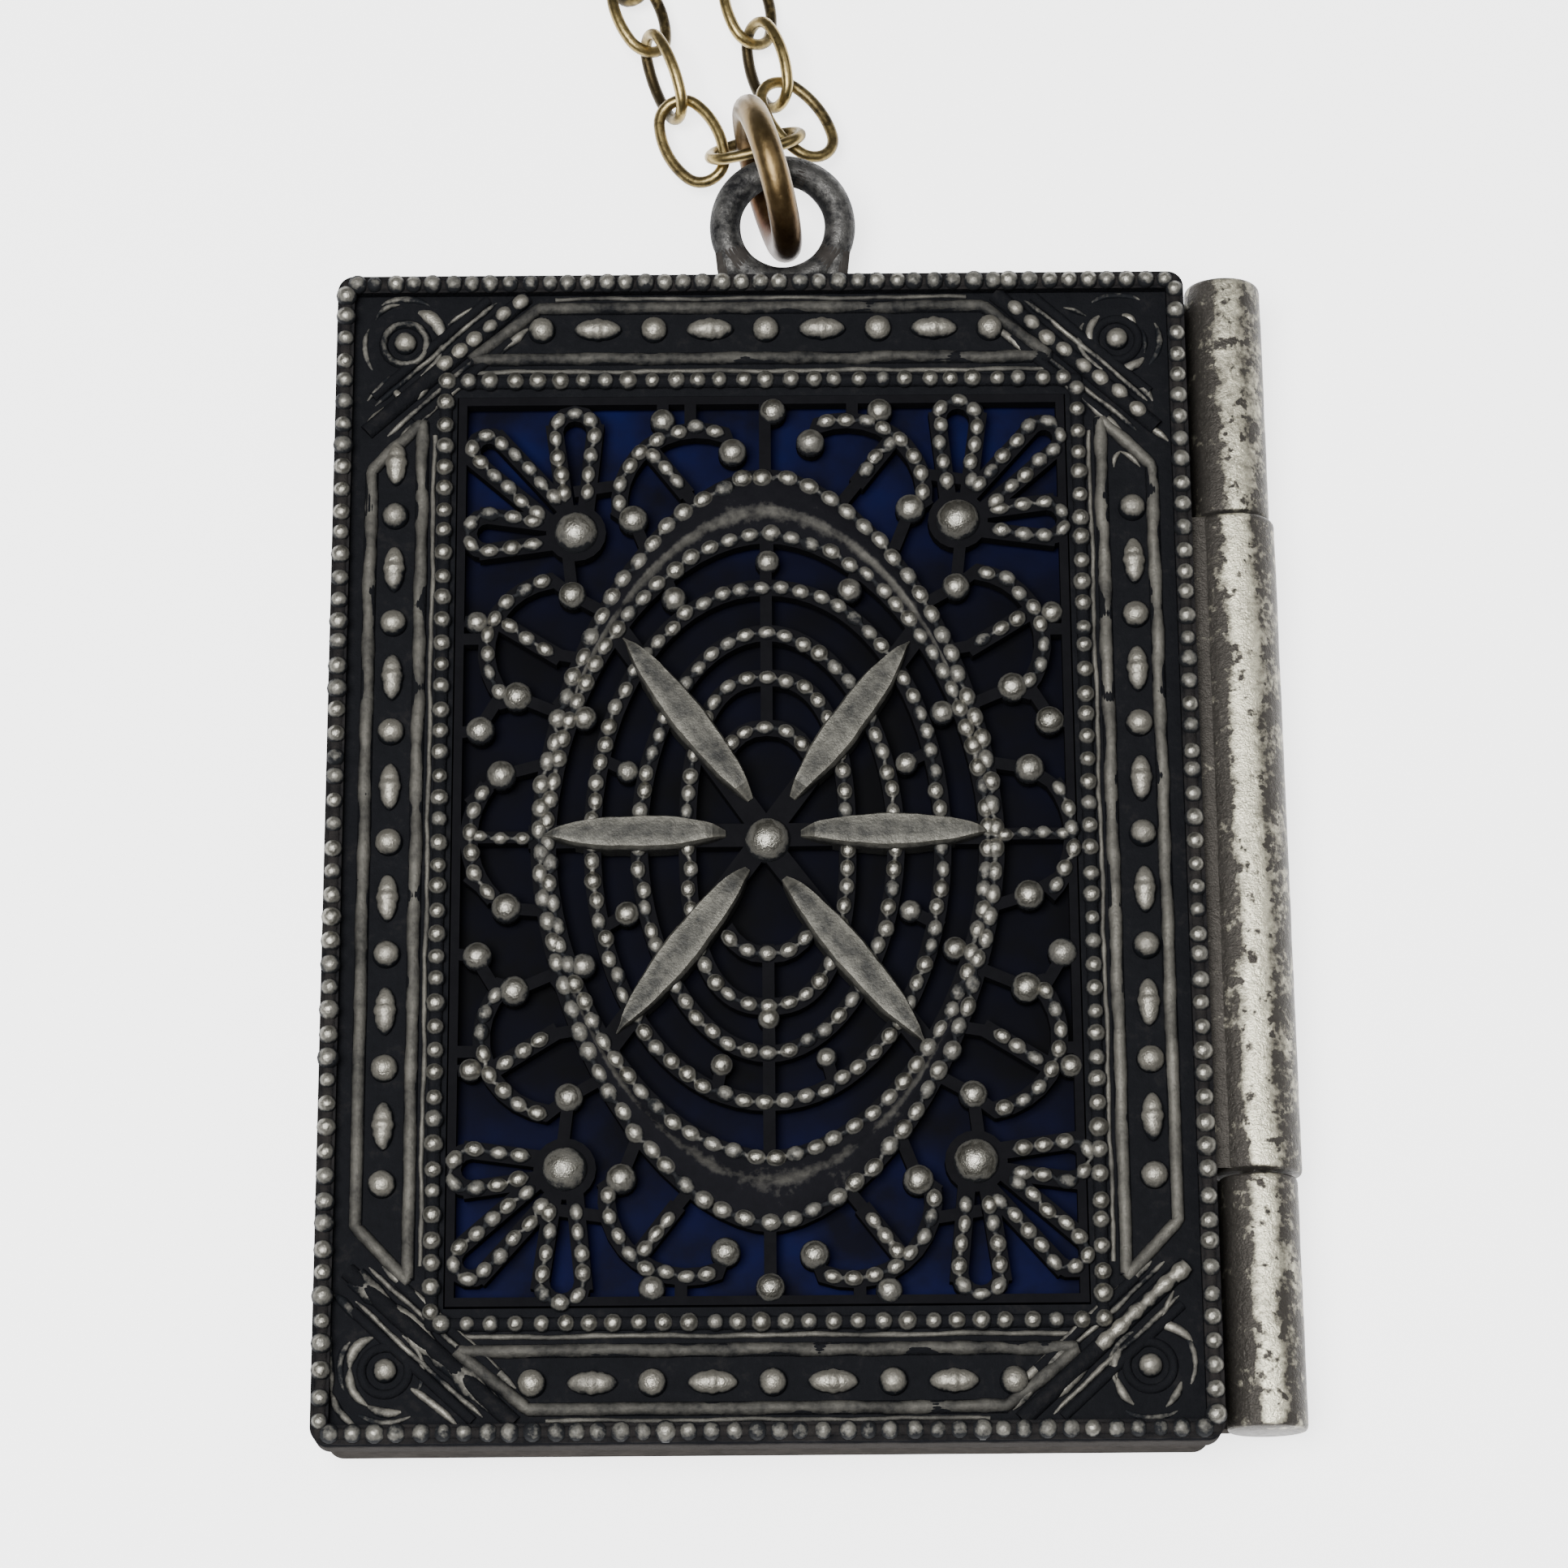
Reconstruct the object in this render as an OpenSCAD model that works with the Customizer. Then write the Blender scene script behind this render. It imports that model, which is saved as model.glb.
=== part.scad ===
// A book-shaped photo locket with a pierced filigree front, a bail, a jump ring and a neck chain.
// It lies on its back: X runs toward the hinged spine, Y toward the bail, Z up through the front.
// The origin is the centre of the back face, on the surface that the locket rests on.

/* [Covers] */
// Width of the front cover
cover_w = 26.3; // [18:0.1:40]
// Height of the front cover
cover_h = 36.4; // [24:0.1:60]
// Thickness of the closed locket, back face to front rim
thick = 4.0; // [3:0.1:8]
// Depth of the back half
back_depth = 2.2; // [1.5:0.1:5]
// Side wall of each half
wall = 0.9; // [0.5:0.05:2]
// Floor of the back half
back_floor = 0.6; // [0.4:0.05:1.5]
// Rounding of the covers' corners
corner_r = 0.5; // [0.1:0.1:2]
// How far the back half stands in from the front half
back_inset = 0.15; // [0:0.05:0.5]
// Gap between pieces that only touch
gap = 0.05; // [0.03:0.01:0.1]

/* [Window] */
// Width of the window in the front
window_w = 18.8; // [10:0.1:30]
// Height of the window in the front
window_h = 28.5; // [14:0.1:50]
// Thickness of the front plate behind its raised ornament
plate_t = 0.5; // [0.3:0.05:1.5]
// Drop from the rim's top to the plate
rim_rise = 0.65; // [0.3:0.05:1]
// Thickness of the blue sheet
sheet_t = 0.25; // [0.1:0.05:0.6]

/* [Filigree] */
// Thickness of the pierced panel
panel_t = 0.45; // [0.3:0.05:1]
// Width of the panel's bars
bar_w = 0.5; // [0.3:0.02:1]
// Width of the thin struts between the scrolls
strut_w = 0.34; // [0.2:0.02:1]
// Width of the panel's own rim
panel_rim = 0.25; // [0.2:0.05:1]
// Width of a leaf blade at its middle
blade_w = 1.0; // [0.5:0.05:2]

/* [Spine] */
// Radius of the middle knuckle
mid_knuckle_r = 1.29; // [0.8:0.01:1.32]
// Radius of the two end knuckles
end_knuckle_r = 1.15; // [0.8:0.01:1.3]
// Radius of the hinge pin
pin_r = 0.45; // [0.3:0.05:1]
// Clearance round the pin in the middle knuckle
pin_clear = 0.05; // [0.02:0.01:0.1]
// Distance of the hinge axis from the front cover's edge
axis_out = 1.35; // [1:0.05:3]
// Half length of the middle knuckle
mid_half = 10.2; // [5:0.05:15]
// Gap between the middle knuckle and the two end knuckles
knuckle_gap = 0.2; // [0.03:0.01:0.4]
// End of the spine toward the bail
spine_top = 18.1; // [10:0.1:30]
// End of the spine away from the bail
spine_foot = -17.75; // [-30:0.05:-10]

/* [Bail and jump ring] */
// Place of the bail across the top edge
bail_x = 0.7; // [-5:0.05:5]
// Distance of the bail's centre above the cover's top edge
bail_out = 2.4; // [2.3:0.05:2.8]
// Radius of the bail to the middle of its wire
bail_r = 1.82; // [1:0.02:4]
// Wire of the bail and the jump ring
bail_wire = 0.95; // [0.5:0.05:1]
// Slope of the bail away from the surface, in degrees
bail_slope = 9.5; // [0:0.5:20]
// Height of the bail's foot over the surface
bail_root = 1.64; // [1:0.02:1.7]
// Radius of the jump ring to the middle of its wire
ring_r = 2.25; // [1.5:0.05:4]
// Lean of the jump ring toward the left, in degrees
ring_lean = 16; // [10:0.5:20]

/* [Chain] */
// Outside length of a link
link_l = 3.35; // [3:0.05:3.5]
// Outside width of a link
link_w = 2.15; // [1.9:0.05:2.3]
// Wire of a link
link_wire = 0.37; // [0.25:0.01:0.4]
// Roll of each link, left and right by turns, in degrees
link_roll = 45; // [40:1:50]
// Number of links down each side of the loop
side_links = 88; // [20:1:110]
// Length of the loop's two sides
flank_l = 129; // [60:1:200]
// Depth of the loop's rounded far end
bow_l = 59; // [30:1:120]
// Half width of the loop at its far end
bow_w = 45; // [20:1:100]
// Half distance between the two strands where they leave the locket
strand_gap = 1.72; // [1:0.05:5]
// Direction of the loop away from the locket, in degrees from +X
loop_dir = 101; // [60:1:120]
// Outside radius of the clasp's ring
clasp_r = 3.0; // [2:0.1:5]
// Wire of the clasp's ring
clasp_wire = 0.6; // [0.4:0.05:0.65]

/* [Hidden] */
fine = 32;

half_w = cover_w / 2;
half_h = cover_h / 2;
// Height of the hinge axis, level with the parting line
axis_z = back_depth;
axis_x = half_w + axis_out;
plate_top = thick - rim_rise;
plate_low = plate_top - plate_t;
// Edge under the outer bead line: its top, and how far it reaches in from that line
rim_top = thick - 0.3;
rim_in = 0.25;
sheet_top = plate_low - gap;
sheet_edge = 1.5;
panel_size = [window_w - 2 * gap, window_h - 2 * gap];
panel_low = plate_low + 0.15;
panel_top = panel_low + panel_t;
// Height of the round beads' and blades' feet in the panel
seat = panel_top - 0.1;
// Leaves of the hinge: reach into the wall, thickness, distance from the parting line, shortening at the top
leaf_root = 0.4;
leaf_t = 0.8;
leaf_step = 0.15;
leaf_short = 0.3;
// Bore round the pin in the two end knuckles
pin_fit = 0.02;
// Legs beside the bail's ring: diameter, and distance from its middle at the top and at the foot
leg_d = 0.85;
leg_x = [1.8, 1.5];
// Solder at the bail's foot: size, reach into the wall, drop under the foot
solder = [3, 1.05, 0.85];
solder_root = 0.3;
solder_drop = 0.5;

silver = [0.27, 0.26, 0.25];
bright = [0.66, 0.64, 0.60];
blue = [0.03, 0.08, 0.32];
brass = [0.56, 0.44, 0.27];

// Lines of the border: distance of each from the centre, across and along
outer_bead = [12.87, 17.9];
outer_ridge = [12.0, 17.2];
border_row = [11.25, 16.45];
inner_ridge = [10.45, 15.5];
inner_bead = [9.75, 14.72];
line_r = 0.2;
line_lift = 0.02;
// Half lengths of the straight ridges: outer and inner ones of the short sides, then of the long sides
ridge_half = [6.9, 9, 11.8, 13.4];
// Border rows: step from a round bead to the oval one beside it, and the sizes of both
border_step = 1.74;
round_r = 0.42;
long_bead = [1.35, 0.62];
// Bead rows: direction in degrees, number of beads, x and y of the row's middle
bead_rows = [[0, 9, 0.15, border_row[1]], [0, 9, 0.15, -border_row[1]],
             [90, 14, -border_row[0], 0.75], [90, 13, border_row[0] + 0.1, 0]];
// Ends of the beaded band that cuts each corner
band_a = [7.3, 17.6];
band_b = [12.2, 13.1];
// Ridges of the band: distance from its middle, shortening at both ends as a share, and radius
band_ridges = [[0, 0, 0.26], [0.75, 0.14, 0.16], [-0.75, 0.2, 0.16]];
// Ring of each corner: place, radius to the middle of its wire, wire radius and dome radius
corner_ring = [11.05, 16.05];
corner_ring_r = 0.68;
corner_wire_r = 0.14;
corner_dome_r = 0.34;

// Ovals of the panel, as superellipses: half width, half height and exponent
medal_centre = [0.1, -0.15];
ovals = [[6.85, 11.67, 1.75], [6.60, 9.75, 1.85], [5.25, 8.05, 2.05], [3.85, 6.58, 1.95], [2.40, 5.14, 2.50]];
oval_steps = 72;
// Short arcs over and under the centre, and their half sweep in degrees
short_arc = [1.75, 3.55, 2.4];
short_sweep = 42;

// Blades, from the centre outward: inner x, inner y, tip x, tip y
blades = [[1.10, 0.05, 6.80, 0.05], [0.85, 1.15, 4.45, 6.10], [-0.40, 1.10, -4.25, 6.28],
          [-1.15, 0.05, -6.70, 0.00], [-0.50, -1.05, -4.40, -6.10], [0.60, -1.35, 4.75, -6.50]];

// Quarters of the panel: side across, side along, then x and y of its flower, top scroll and side scroll
quarters = [[1, 1, 6.00, 10.05, 2.60, 11.00, 6.20, 6.10],
            [-1, 1, 5.70, 9.72, 2.00, 10.70, 6.10, 5.90],
            [-1, -1, 5.90, 10.15, 2.30, 11.00, 6.10, 6.20],
            [1, -1, 6.15, 10.00, 2.50, 11.10, 6.40, 6.20]];
centre_bead = 0.68;
flower_bead = 0.66;
// How far the collar of a flower reaches past its bead
collar = 0.25;
// Outline of a blade: share of its length, share of its width
blade_outline = [[0, 0], [0.28, 0.5], [0.6, 0.5], [1, 0], [0.6, -0.5], [0.28, -0.5]];
// Share of its length at which a blade is turned about its middle
blade_mid = 0.45;
// Height of a blade and how much smaller its flat top is
blade_h = 0.55;
blade_top = 0.8;
// Bar under a blade: its width, and the share of the blade's distance where it starts
blade_bar_w = 0.7;
blade_bar_from = 0.3;
// Petals of a flower: direction in degrees, length from the big bead's centre and half width
petals = [[0, 3.30, 0.58], [45, 4.35, 0.52], [89, 3.95, 0.62]];
petal_root = 1.0;
petal_root_w = 0.34;
// Arcs of the scrolls: radius, then start and end in degrees
top_arc = [2.38, -8, 112];
side_arc = [2.3, -42, 82];
// Bars of a top scroll, from its centre: x and y of one end, x and y of the other, width
top_bars = [[1.45, 1.75, 0.45, 0.45, bar_w], [1.95, -0.55, 2.30, -0.30, bar_w],
            [-0.90, 2.20, -1.10, 1.65, strut_w], [0.20, 2.30, 0.20, 3.20, strut_w],
            [1.05, 2.20, 1.05, 3.20, strut_w], [0.45, 0.45, -0.60, -0.90, strut_w],
            [1.95, -0.55, 1.50, -1.70, strut_w], [2.30, 0.60, 3.60, 0.40, strut_w]];
// Bars of a side scroll, in the same columns
side_bars = [[1.85, 0.90, 0.25, -0.10, bar_w], [1.70, -1.55, 1.35, -1.45, bar_w],
             [2.20, 0.40, 3.20, 0.40, strut_w], [2.20, 0.85, 2.80, 0.95, strut_w],
             [0.25, -0.10, -0.90, -0.30, strut_w], [1.35, -1.45, 0.30, -1.90, strut_w],
             [1.90, -1.50, 2.52, -2.52, strut_w], [2.52, -2.52, 3.20, -2.60, strut_w],
             [-0.30, 1.80, -0.10, 3.60, strut_w], [-0.30, 1.80, -1.00, 1.40, strut_w],
             [0.30, 2.28, -0.30, 1.80, strut_w]];
// Beads of a top scroll and of a side scroll, from the scroll's centre: x, y, radius
scroll_beads = [[1.95, -0.55, 0.45], [-1.10, 1.65, 0.43], [1.05, 2.70, 0.38]];
side_beads = [[1.35, -1.45, 0.45], [-0.30, 1.80, 0.42], [2.60, 0.95, 0.34], [2.45, -2.52, 0.43]];
// Middles of the left and right sides: side, arc centre x, upper bead x and y, lower bead x and y
middles = [[-1, 6.10, 7.90, 1.96, 7.70, -2.20], [1, 6.50, 8.00, 2.06, 7.90, -1.90]];
middle_arc = [2.75, -44, 36];
middle_bead = 0.45;
// Places of the oval's outline that the bars of a middle run to: across and along
middle_root = [6.6, 2.3];
// Where the other bars meet the arc: how far short of its reach, and share of the bead's distance along
middle_foot = [0.1, 0.6];
// Reach of the short strut that holds each loose bead
bead_reach = 0.9;
// Beads between the ovals and on the middle line: x, y, radius
loose_beads = [[0.15, 8.75, 0.36], [-2.70, 7.56, 0.38], [2.65, 7.80, 0.38], [-5.40, 3.75, 0.37],
               [5.40, 3.85, 0.37], [-4.10, 2.05, 0.33], [4.30, 2.25, 0.33], [-4.10, -2.40, 0.37],
               [4.35, -2.37, 0.33], [-5.40, -4.00, 0.38], [5.65, -3.55, 0.36], [-1.30, -7.05, 0.33],
               [1.80, -6.85, 0.30], [0.10, -5.65, 0.32], [0.35, 13.70, 0.40], [0.10, -13.70, 0.42]];

// Jump ring: it stands on the surface, through the bail and through one link of the chain
ring_lift = 0.02;
ring_at = [0.22, 21.91, ring_r + bail_wire / 2 + ring_lift];

// Distance of the last links' centres outside the middle of the clasp's wire
clasp_off = 0.2;
// Thumb piece of the clasp's spring: its size and how far it sits in the ring
thumb = [1.3, 0.4, 0.3];
thumb_root = 0.5;

// Link: length of its straight sides, and half width of its middle line
straight = link_l - link_w;
link_b = (link_w - link_wire) / 2;
chain_lift = 0.01;
chain_z = link_b * sin(link_roll) + link_wire / 2 + chain_lift;
loop_at = [-2.55, 31.07];
// Links at the jump ring: x, y, z, heading, slope and roll in degrees
near_links = [[-3.91, 28.65, 1.03, 107, -1, 30.5],
              [-3.09, 26.33, 1.08, 110, 0.5, -71.5],
              [-2.19, 24.05, 1.06, 116, 0.5, -13.5],
              [-0.15, 23.70, 1.41, 13, 5, -52],
              [1.20, 24.76, 1.13, 126, 3.5, 17],
              [0.25, 26.78, 0.99, 106.5, -1, -56.5],
              [-0.38, 29.01, 0.89, 99, -2, 33.5]];

function mirror_x(side) = side > 0 ? 0 : 1;
function oval_at(size, angle) =
    let (c = cos(angle), s = sin(angle))
    [size[0] * sign(c) * pow(abs(c), 2 / size[2]), size[1] * sign(s) * pow(abs(s), 2 / size[2])];
function oval_line(size, steps) = [for (i = [0 : steps - 1]) oval_at(size, 360 * i / steps)];

// Rounded plate of the covers' outline, grown by a margin
module slab(margin, low, high) {
    w = cover_w + 2 * margin;
    h = cover_h + 2 * margin;
    translate([0, 0, low])
        linear_extrude(high - low) {
            square([w - 2 * corner_r, h], center = true);
            square([w, h - 2 * corner_r], center = true);
            for (sx = [-1, 1], sy = [-1, 1])
                translate([sx * (w / 2 - corner_r), sy * (h / 2 - corner_r)])
                    circle(r = corner_r, $fn = fine);
        }
}

module box(w, h, low, high) {
    translate([0, 0, (low + high) / 2])
        cube([w, h, high - low], center = true);
}

// Round bar between two points at one height
module rod(a, b, z, r) {
    d = b - a;
    translate([a[0], a[1], z])
        rotate([0, 90, atan2(d[1], d[0])])
            cylinder(r = r, h = norm(d), $fn = 16);
}

// Tube of the spine from one Y to another
module knuckle(y0, y1, r) {
    translate([axis_x, y0, axis_z])
        rotate([-90, 0, 0])
            cylinder(r = r, h = y1 - y0, $fn = 48);
}

module bore(clear) {
    translate([axis_x, spine_foot - 1, axis_z])
        rotate([-90, 0, 0])
            cylinder(r = pin_r + clear, h = spine_top - spine_foot + 2, $fn = fine);
}

// Strip that carries a knuckle on its cover, at a height over the parting line
module leaf(y0, y1, rise) {
    translate([half_w - leaf_root, y0, back_depth + rise])
        cube([axis_out, y1 - y0, leaf_t]);
}

// Ring and legs of the bail in their own sloping plane, and the solder that holds them to the top wall
module bail() {
    translate([bail_x, half_h, bail_root])
        rotate([bail_slope, 0, 0]) {
            translate([0, bail_out, 0])
                rotate_extrude($fn = 64)
                    translate([bail_r, 0])
                        circle(d = bail_wire, $fn = 24);
            for (side = [-1, 1])
                rod([side * leg_x[1], -solder_root], [side * leg_x[0], bail_out], 0, leg_d / 2);
        }
    translate([bail_x - solder[0] / 2, half_h - solder_root, bail_root - solder_drop])
        cube(solder);
}

module back_cover() {
    color(silver)
        difference() {
            union() {
                slab(-back_inset, 0, back_depth);
                knuckle(mid_half + knuckle_gap, spine_top, end_knuckle_r);
                knuckle(spine_foot, -mid_half - knuckle_gap, end_knuckle_r);
                leaf(mid_half + knuckle_gap, spine_top - leaf_short, -leaf_step - leaf_t);
                leaf(spine_foot + gap, -mid_half - knuckle_gap, -leaf_step - leaf_t);
                bail();
            }
            box(cover_w - 2 * wall, cover_h - 2 * wall, back_floor, thick);
            bore(pin_fit);
        }
}

// Long bead, thick in the middle and pointed at both ends
module oval_bead(length, width) {
    r = (length * length / 4 + width * width / 4) / width;
    rotate_extrude($fn = 24)
        intersection() {
            translate([width / 2 - r, 0])
                circle(r = r, $fn = 96);
            translate([0, -length])
                square([length, 2 * length]);
        }
}

// One raised line round the whole cover
module frame_line(at, r, z) {
    for (side = [-1, 1]) {
        rod([-at[0], side * at[1]], [at[0], side * at[1]], z, r);
        rod([side * at[0], -at[1]], [side * at[0], at[1]], z, r);
        for (end = [-1, 1])
            translate([side * at[0], end * at[1], z])
                sphere(r = r, $fn = 16);
    }
}

// Round and oval beads by turns
module bead_row(turn, count) {
    rotate([0, 0, turn])
        for (i = [0 : count - 1])
            translate([(i - (count - 1) / 2) * border_step, 0, plate_top])
                if (i % 2 == 0)
                    sphere(r = round_r, $fn = 24);
                else
                    rotate([0, 90, 0])
                        oval_bead(long_bead[0], long_bead[1]);
}

module corner_ornament() {
    band = band_b - band_a;
    away = [-band[1], band[0]] / norm(band);
    for (row = band_ridges) {
        side = row[0] * away;
        cut = row[1] * band;
        rod(band_a + side + cut, band_b + side - cut, plate_top, row[2]);
    }
    translate([corner_ring[0], corner_ring[1], plate_top]) {
        rotate_extrude($fn = fine)
            translate([corner_ring_r, 0])
                circle(r = corner_wire_r, $fn = 16);
        sphere(r = corner_dome_r, $fn = 20);
    }
}

// Straight ridge along one side of the border: half length, distance from the centre, turn
module border_ridge(half, away, turn) {
    rotate([0, 0, turn])
        rod([-half, away], [half, away], plate_top, line_r);
}

module border_relief() {
    frame_line(outer_bead, line_r, thick - 2 * line_r);
    frame_line(inner_bead, line_r, plate_top + line_lift);
    for (turn = [0, 180]) {
        border_ridge(ridge_half[0], outer_ridge[1], turn);
        border_ridge(ridge_half[1], inner_ridge[1], turn);
        border_ridge(ridge_half[2], outer_ridge[0], turn + 90);
        border_ridge(ridge_half[3], inner_ridge[0], turn + 90);
    }
    for (row = bead_rows)
        translate([row[2], row[3], 0])
            bead_row(row[0], row[1]);
    for (sx = [0, 1], sy = [0, 1])
        mirror([sx, 0, 0])
            mirror([0, sy, 0])
                corner_ornament();
}

module front_cover() {
    color(silver)
        difference() {
            union() {
                slab(0, back_depth + gap, plate_top);
                // Edge that the outer bead line stands on
                difference() {
                    slab(0, plate_low, rim_top);
                    box(2 * (outer_bead[0] - rim_in), 2 * (outer_bead[1] - rim_in), 0, 2 * thick);
                }
                border_relief();
                knuckle(-mid_half, mid_half, mid_knuckle_r);
                leaf(-mid_half, mid_half, leaf_step);
            }
            box(cover_w - 2 * wall, cover_h - 2 * wall, 0, plate_low);
            box(window_w, window_h, 0, 2 * thick);
            bore(pin_clear);
        }
}

// Flat bar between two points of the panel
module bar(a, b, w) {
    d = b - a;
    translate(a)
        rotate(atan2(d[1], d[0]))
            translate([-w / 2, -w / 2])
                square([norm(d) + w, w]);
}

// Flat bar bent along part of a circle
module arc_bar(centre, r, from, to, w, steps = 10) {
    angles = [for (i = [0 : steps]) from + (to - from) * i / steps];
    translate(centre)
        polygon(concat([for (a = angles) (r + w / 2) * [cos(a), sin(a)]],
                       [for (i = [steps : -1 : 0]) (r - w / 2) * [cos(angles[i]), sin(angles[i])]]));
}

module oval_ring(size, w) {
    translate(medal_centre)
        difference() {
            polygon(oval_line([size[0] + w / 2, size[1] + w / 2, size[2]], oval_steps));
            polygon(oval_line([size[0] - w / 2, size[1] - w / 2, size[2]], oval_steps));
        }
}

module petal(length, half) {
    root = [petal_root, petal_root_w];
    shoulder = [length - half, half];
    for (side = [-1, 1])
        bar([root[0], side * root[1]], [shoulder[0], side * shoulder[1]], bar_w);
    arc_bar([length - half, 0], half, -90, 90, bar_w, 6);
}

module flower_lines() {
    circle(r = flower_bead + collar, $fn = 20);
    for (p = petals)
        rotate(p[0])
            petal(p[1], p[2]);
}

// Arc, bars and bead seats of one scroll
module scroll_lines(arc, bars, beads) {
    arc_bar([0, 0], arc[0], arc[1], arc[2], bar_w);
    for (row = bars)
        bar([row[0], row[1]], [row[2], row[3]], row[4]);
    for (b = beads)
        translate([b[0], b[1]])
            circle(r = b[2], $fn = 16);
}

module quarter_lines(q) {
    for (part = [0 : 2])
        translate([q[0] * q[2 + 2 * part], q[1] * q[3 + 2 * part]])
            mirror([mirror_x(q[0]), 0])
                mirror([0, mirror_x(q[1])]) {
                    if (part == 0)
                        flower_lines();
                    else if (part == 1)
                        scroll_lines(top_arc, top_bars, scroll_beads);
                    else
                        scroll_lines(side_arc, side_bars, side_beads);
                }
}

module middle_lines(m) {
    reach = m[1] + middle_arc[0];
    mirror([mirror_x(m[0]), 0]) {
        arc_bar([m[1], 0], middle_arc[0], middle_arc[1], middle_arc[2], bar_w);
        bar([ovals[0][0], 0], [window_w / 2, 0], strut_w);
        for (i = [2, 4]) {
            at = [m[i], m[i + 1]];
            bar(at, [middle_root[0], sign(m[i + 1]) * middle_root[1]], strut_w);
            bar(at, [reach - middle_foot[0], m[i + 1] * middle_foot[1]], strut_w);
            translate(at)
                circle(r = middle_bead, $fn = 16);
        }
    }
}

module panel_lines() {
    edge = [bar_w / 2, bar_w / 2, 0];
    difference() {
        square(panel_size, center = true);
        square(panel_size - 2 * [panel_rim, panel_rim], center = true);
    }
    for (size = ovals)
        oval_ring(size, bar_w);
    // Smooth crescents that fill the space between the two outer ovals
    translate(medal_centre)
        difference() {
            polygon(oval_line(ovals[0], oval_steps));
            polygon(oval_line(ovals[1], oval_steps));
        }
    for (turn = [90, 270])
        translate(medal_centre)
            polygon(concat([for (i = [-4 : 4]) oval_at(short_arc + edge, turn + short_sweep * i / 4)],
                           [for (i = [4 : -1 : -4]) oval_at(short_arc - edge, turn + short_sweep * i / 4)]));
    for (b = blades)
        bar([b[0], b[1]] * blade_bar_from, [b[2], b[3]], blade_bar_w);
    for (side = [-1, 1])
        bar([medal_centre[0], side * short_arc[1]], [medal_centre[0], side * panel_size[1] / 2], strut_w);
    for (b = loose_beads) {
        at = [b[0], b[1]];
        bar(at, at * (1 + bead_reach / norm(at)), strut_w);
        translate(at)
            circle(r = b[2], $fn = 16);
    }
    for (q = quarters)
        quarter_lines(q);
    for (m = middles)
        middle_lines(m);
}

// Leaf blade with a flat top and bevelled sides, from its inner end to its tip
module blade(b) {
    d = [b[2] - b[0], b[3] - b[1]];
    length = norm(d);
    outline = [for (p = blade_outline) [(p[0] - blade_mid) * length, p[1] * blade_w]];
    n = len(outline);
    translate([b[0], b[1], seat])
        rotate([0, 0, atan2(d[1], d[0])])
            translate([blade_mid * length, 0, 0])
                polyhedron(
                    points = concat([for (p = outline) [p[0], p[1], 0]],
                                    [for (p = outline * blade_top) [p[0], p[1], blade_h]]),
                    faces = concat([[for (i = [0 : n - 1]) n + i], [for (i = [n - 1 : -1 : 0]) i]],
                                   [for (i = [0 : n - 1]) [i, (i + 1) % n, n + (i + 1) % n, n + i]]));
}

// Round bead standing on the panel
module bead(x, y, r) {
    translate([x, y, seat])
        sphere(r = r, $fn = 24);
}

module panel_beads() {
    bead(medal_centre[0], medal_centre[1], centre_bead);
    for (b = loose_beads)
        bead(b[0], b[1], b[2]);
    for (m = middles, i = [2, 4])
        bead(m[0] * m[i], m[i + 1], middle_bead);
    for (q = quarters) {
        bead(q[0] * q[2], q[1] * q[3], flower_bead);
        for (b = scroll_beads)
            bead(q[0] * (q[4] + b[0]), q[1] * (q[5] + b[1]), b[2]);
        for (b = side_beads)
            bead(q[0] * (q[6] + b[0]), q[1] * (q[7] + b[1]), b[2]);
    }
}

module filigree_panel() {
    color(bright) {
        translate([0, 0, panel_low])
            linear_extrude(panel_t)
                intersection() {
                    square(panel_size, center = true);
                    offset(delta = 0.01)
                        panel_lines();
                }
        // Undersides of the beads end level with the panel's back
        difference() {
            panel_beads();
            box(cover_w, cover_h, 0, panel_low);
        }
        for (b = blades)
            blade(b);
    }
}

module blue_sheet() {
    color(blue)
        box(window_w + 2 * sheet_edge, window_h + 2 * sheet_edge, sheet_top - sheet_t, sheet_top);
}

module hinge_pin() {
    color(bright)
        translate([axis_x, spine_foot + 2 * gap, axis_z])
            rotate([-90, 0, 0])
                cylinder(r = pin_r, h = spine_top - spine_foot - 4 * gap, $fn = fine);
}

module jump_ring() {
    color(brass)
        translate(ring_at)
            rotate([0, 0, ring_lean])
                rotate([0, 90, 0])
                    rotate_extrude($fn = 64)
                        translate([ring_r, 0])
                            circle(d = bail_wire, $fn = 24);
}

// One link, long along X: two half rings and two straight sides
module link() {
    for (turn = [0, 180])
        rotate([0, 0, turn]) {
            translate([straight / 2, 0, 0])
                rotate([0, 0, -90])
                    rotate_extrude(angle = 180, $fn = fine)
                        translate([link_b, 0])
                            circle(d = link_wire, $fn = 16);
            translate([-straight / 2, link_b, 0])
                rotate([0, 90, 0])
                    cylinder(d = link_wire, h = straight, $fn = 16);
        }
}

// Half of the loop: a smooth flank that widens, then a quarter of an ellipse to the far end
function flank(t) = [flank_l * t, strand_gap + (bow_w - strand_gap) * t * t * (3 - 2 * t)];
function bow(t) = [flank_l + bow_l * sin(90 * t), bow_w * cos(90 * t)];
half_route = concat([for (i = [0 : 119]) flank(i / 120)], [for (i = [0 : 120]) bow(i / 120)]);
function lengths(line, i = 0, sum = 0) =
    i == len(line) - 1 ? [sum] : concat([sum], lengths(line, i + 1, sum + norm(line[i + 1] - line[i])));
route_s = lengths(half_route);
route_l = route_s[len(route_s) - 1];
clasp_reach = clasp_r - clasp_wire / 2 + clasp_off;
link_pitch = (route_l - clasp_reach) / (side_links - 1);
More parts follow.
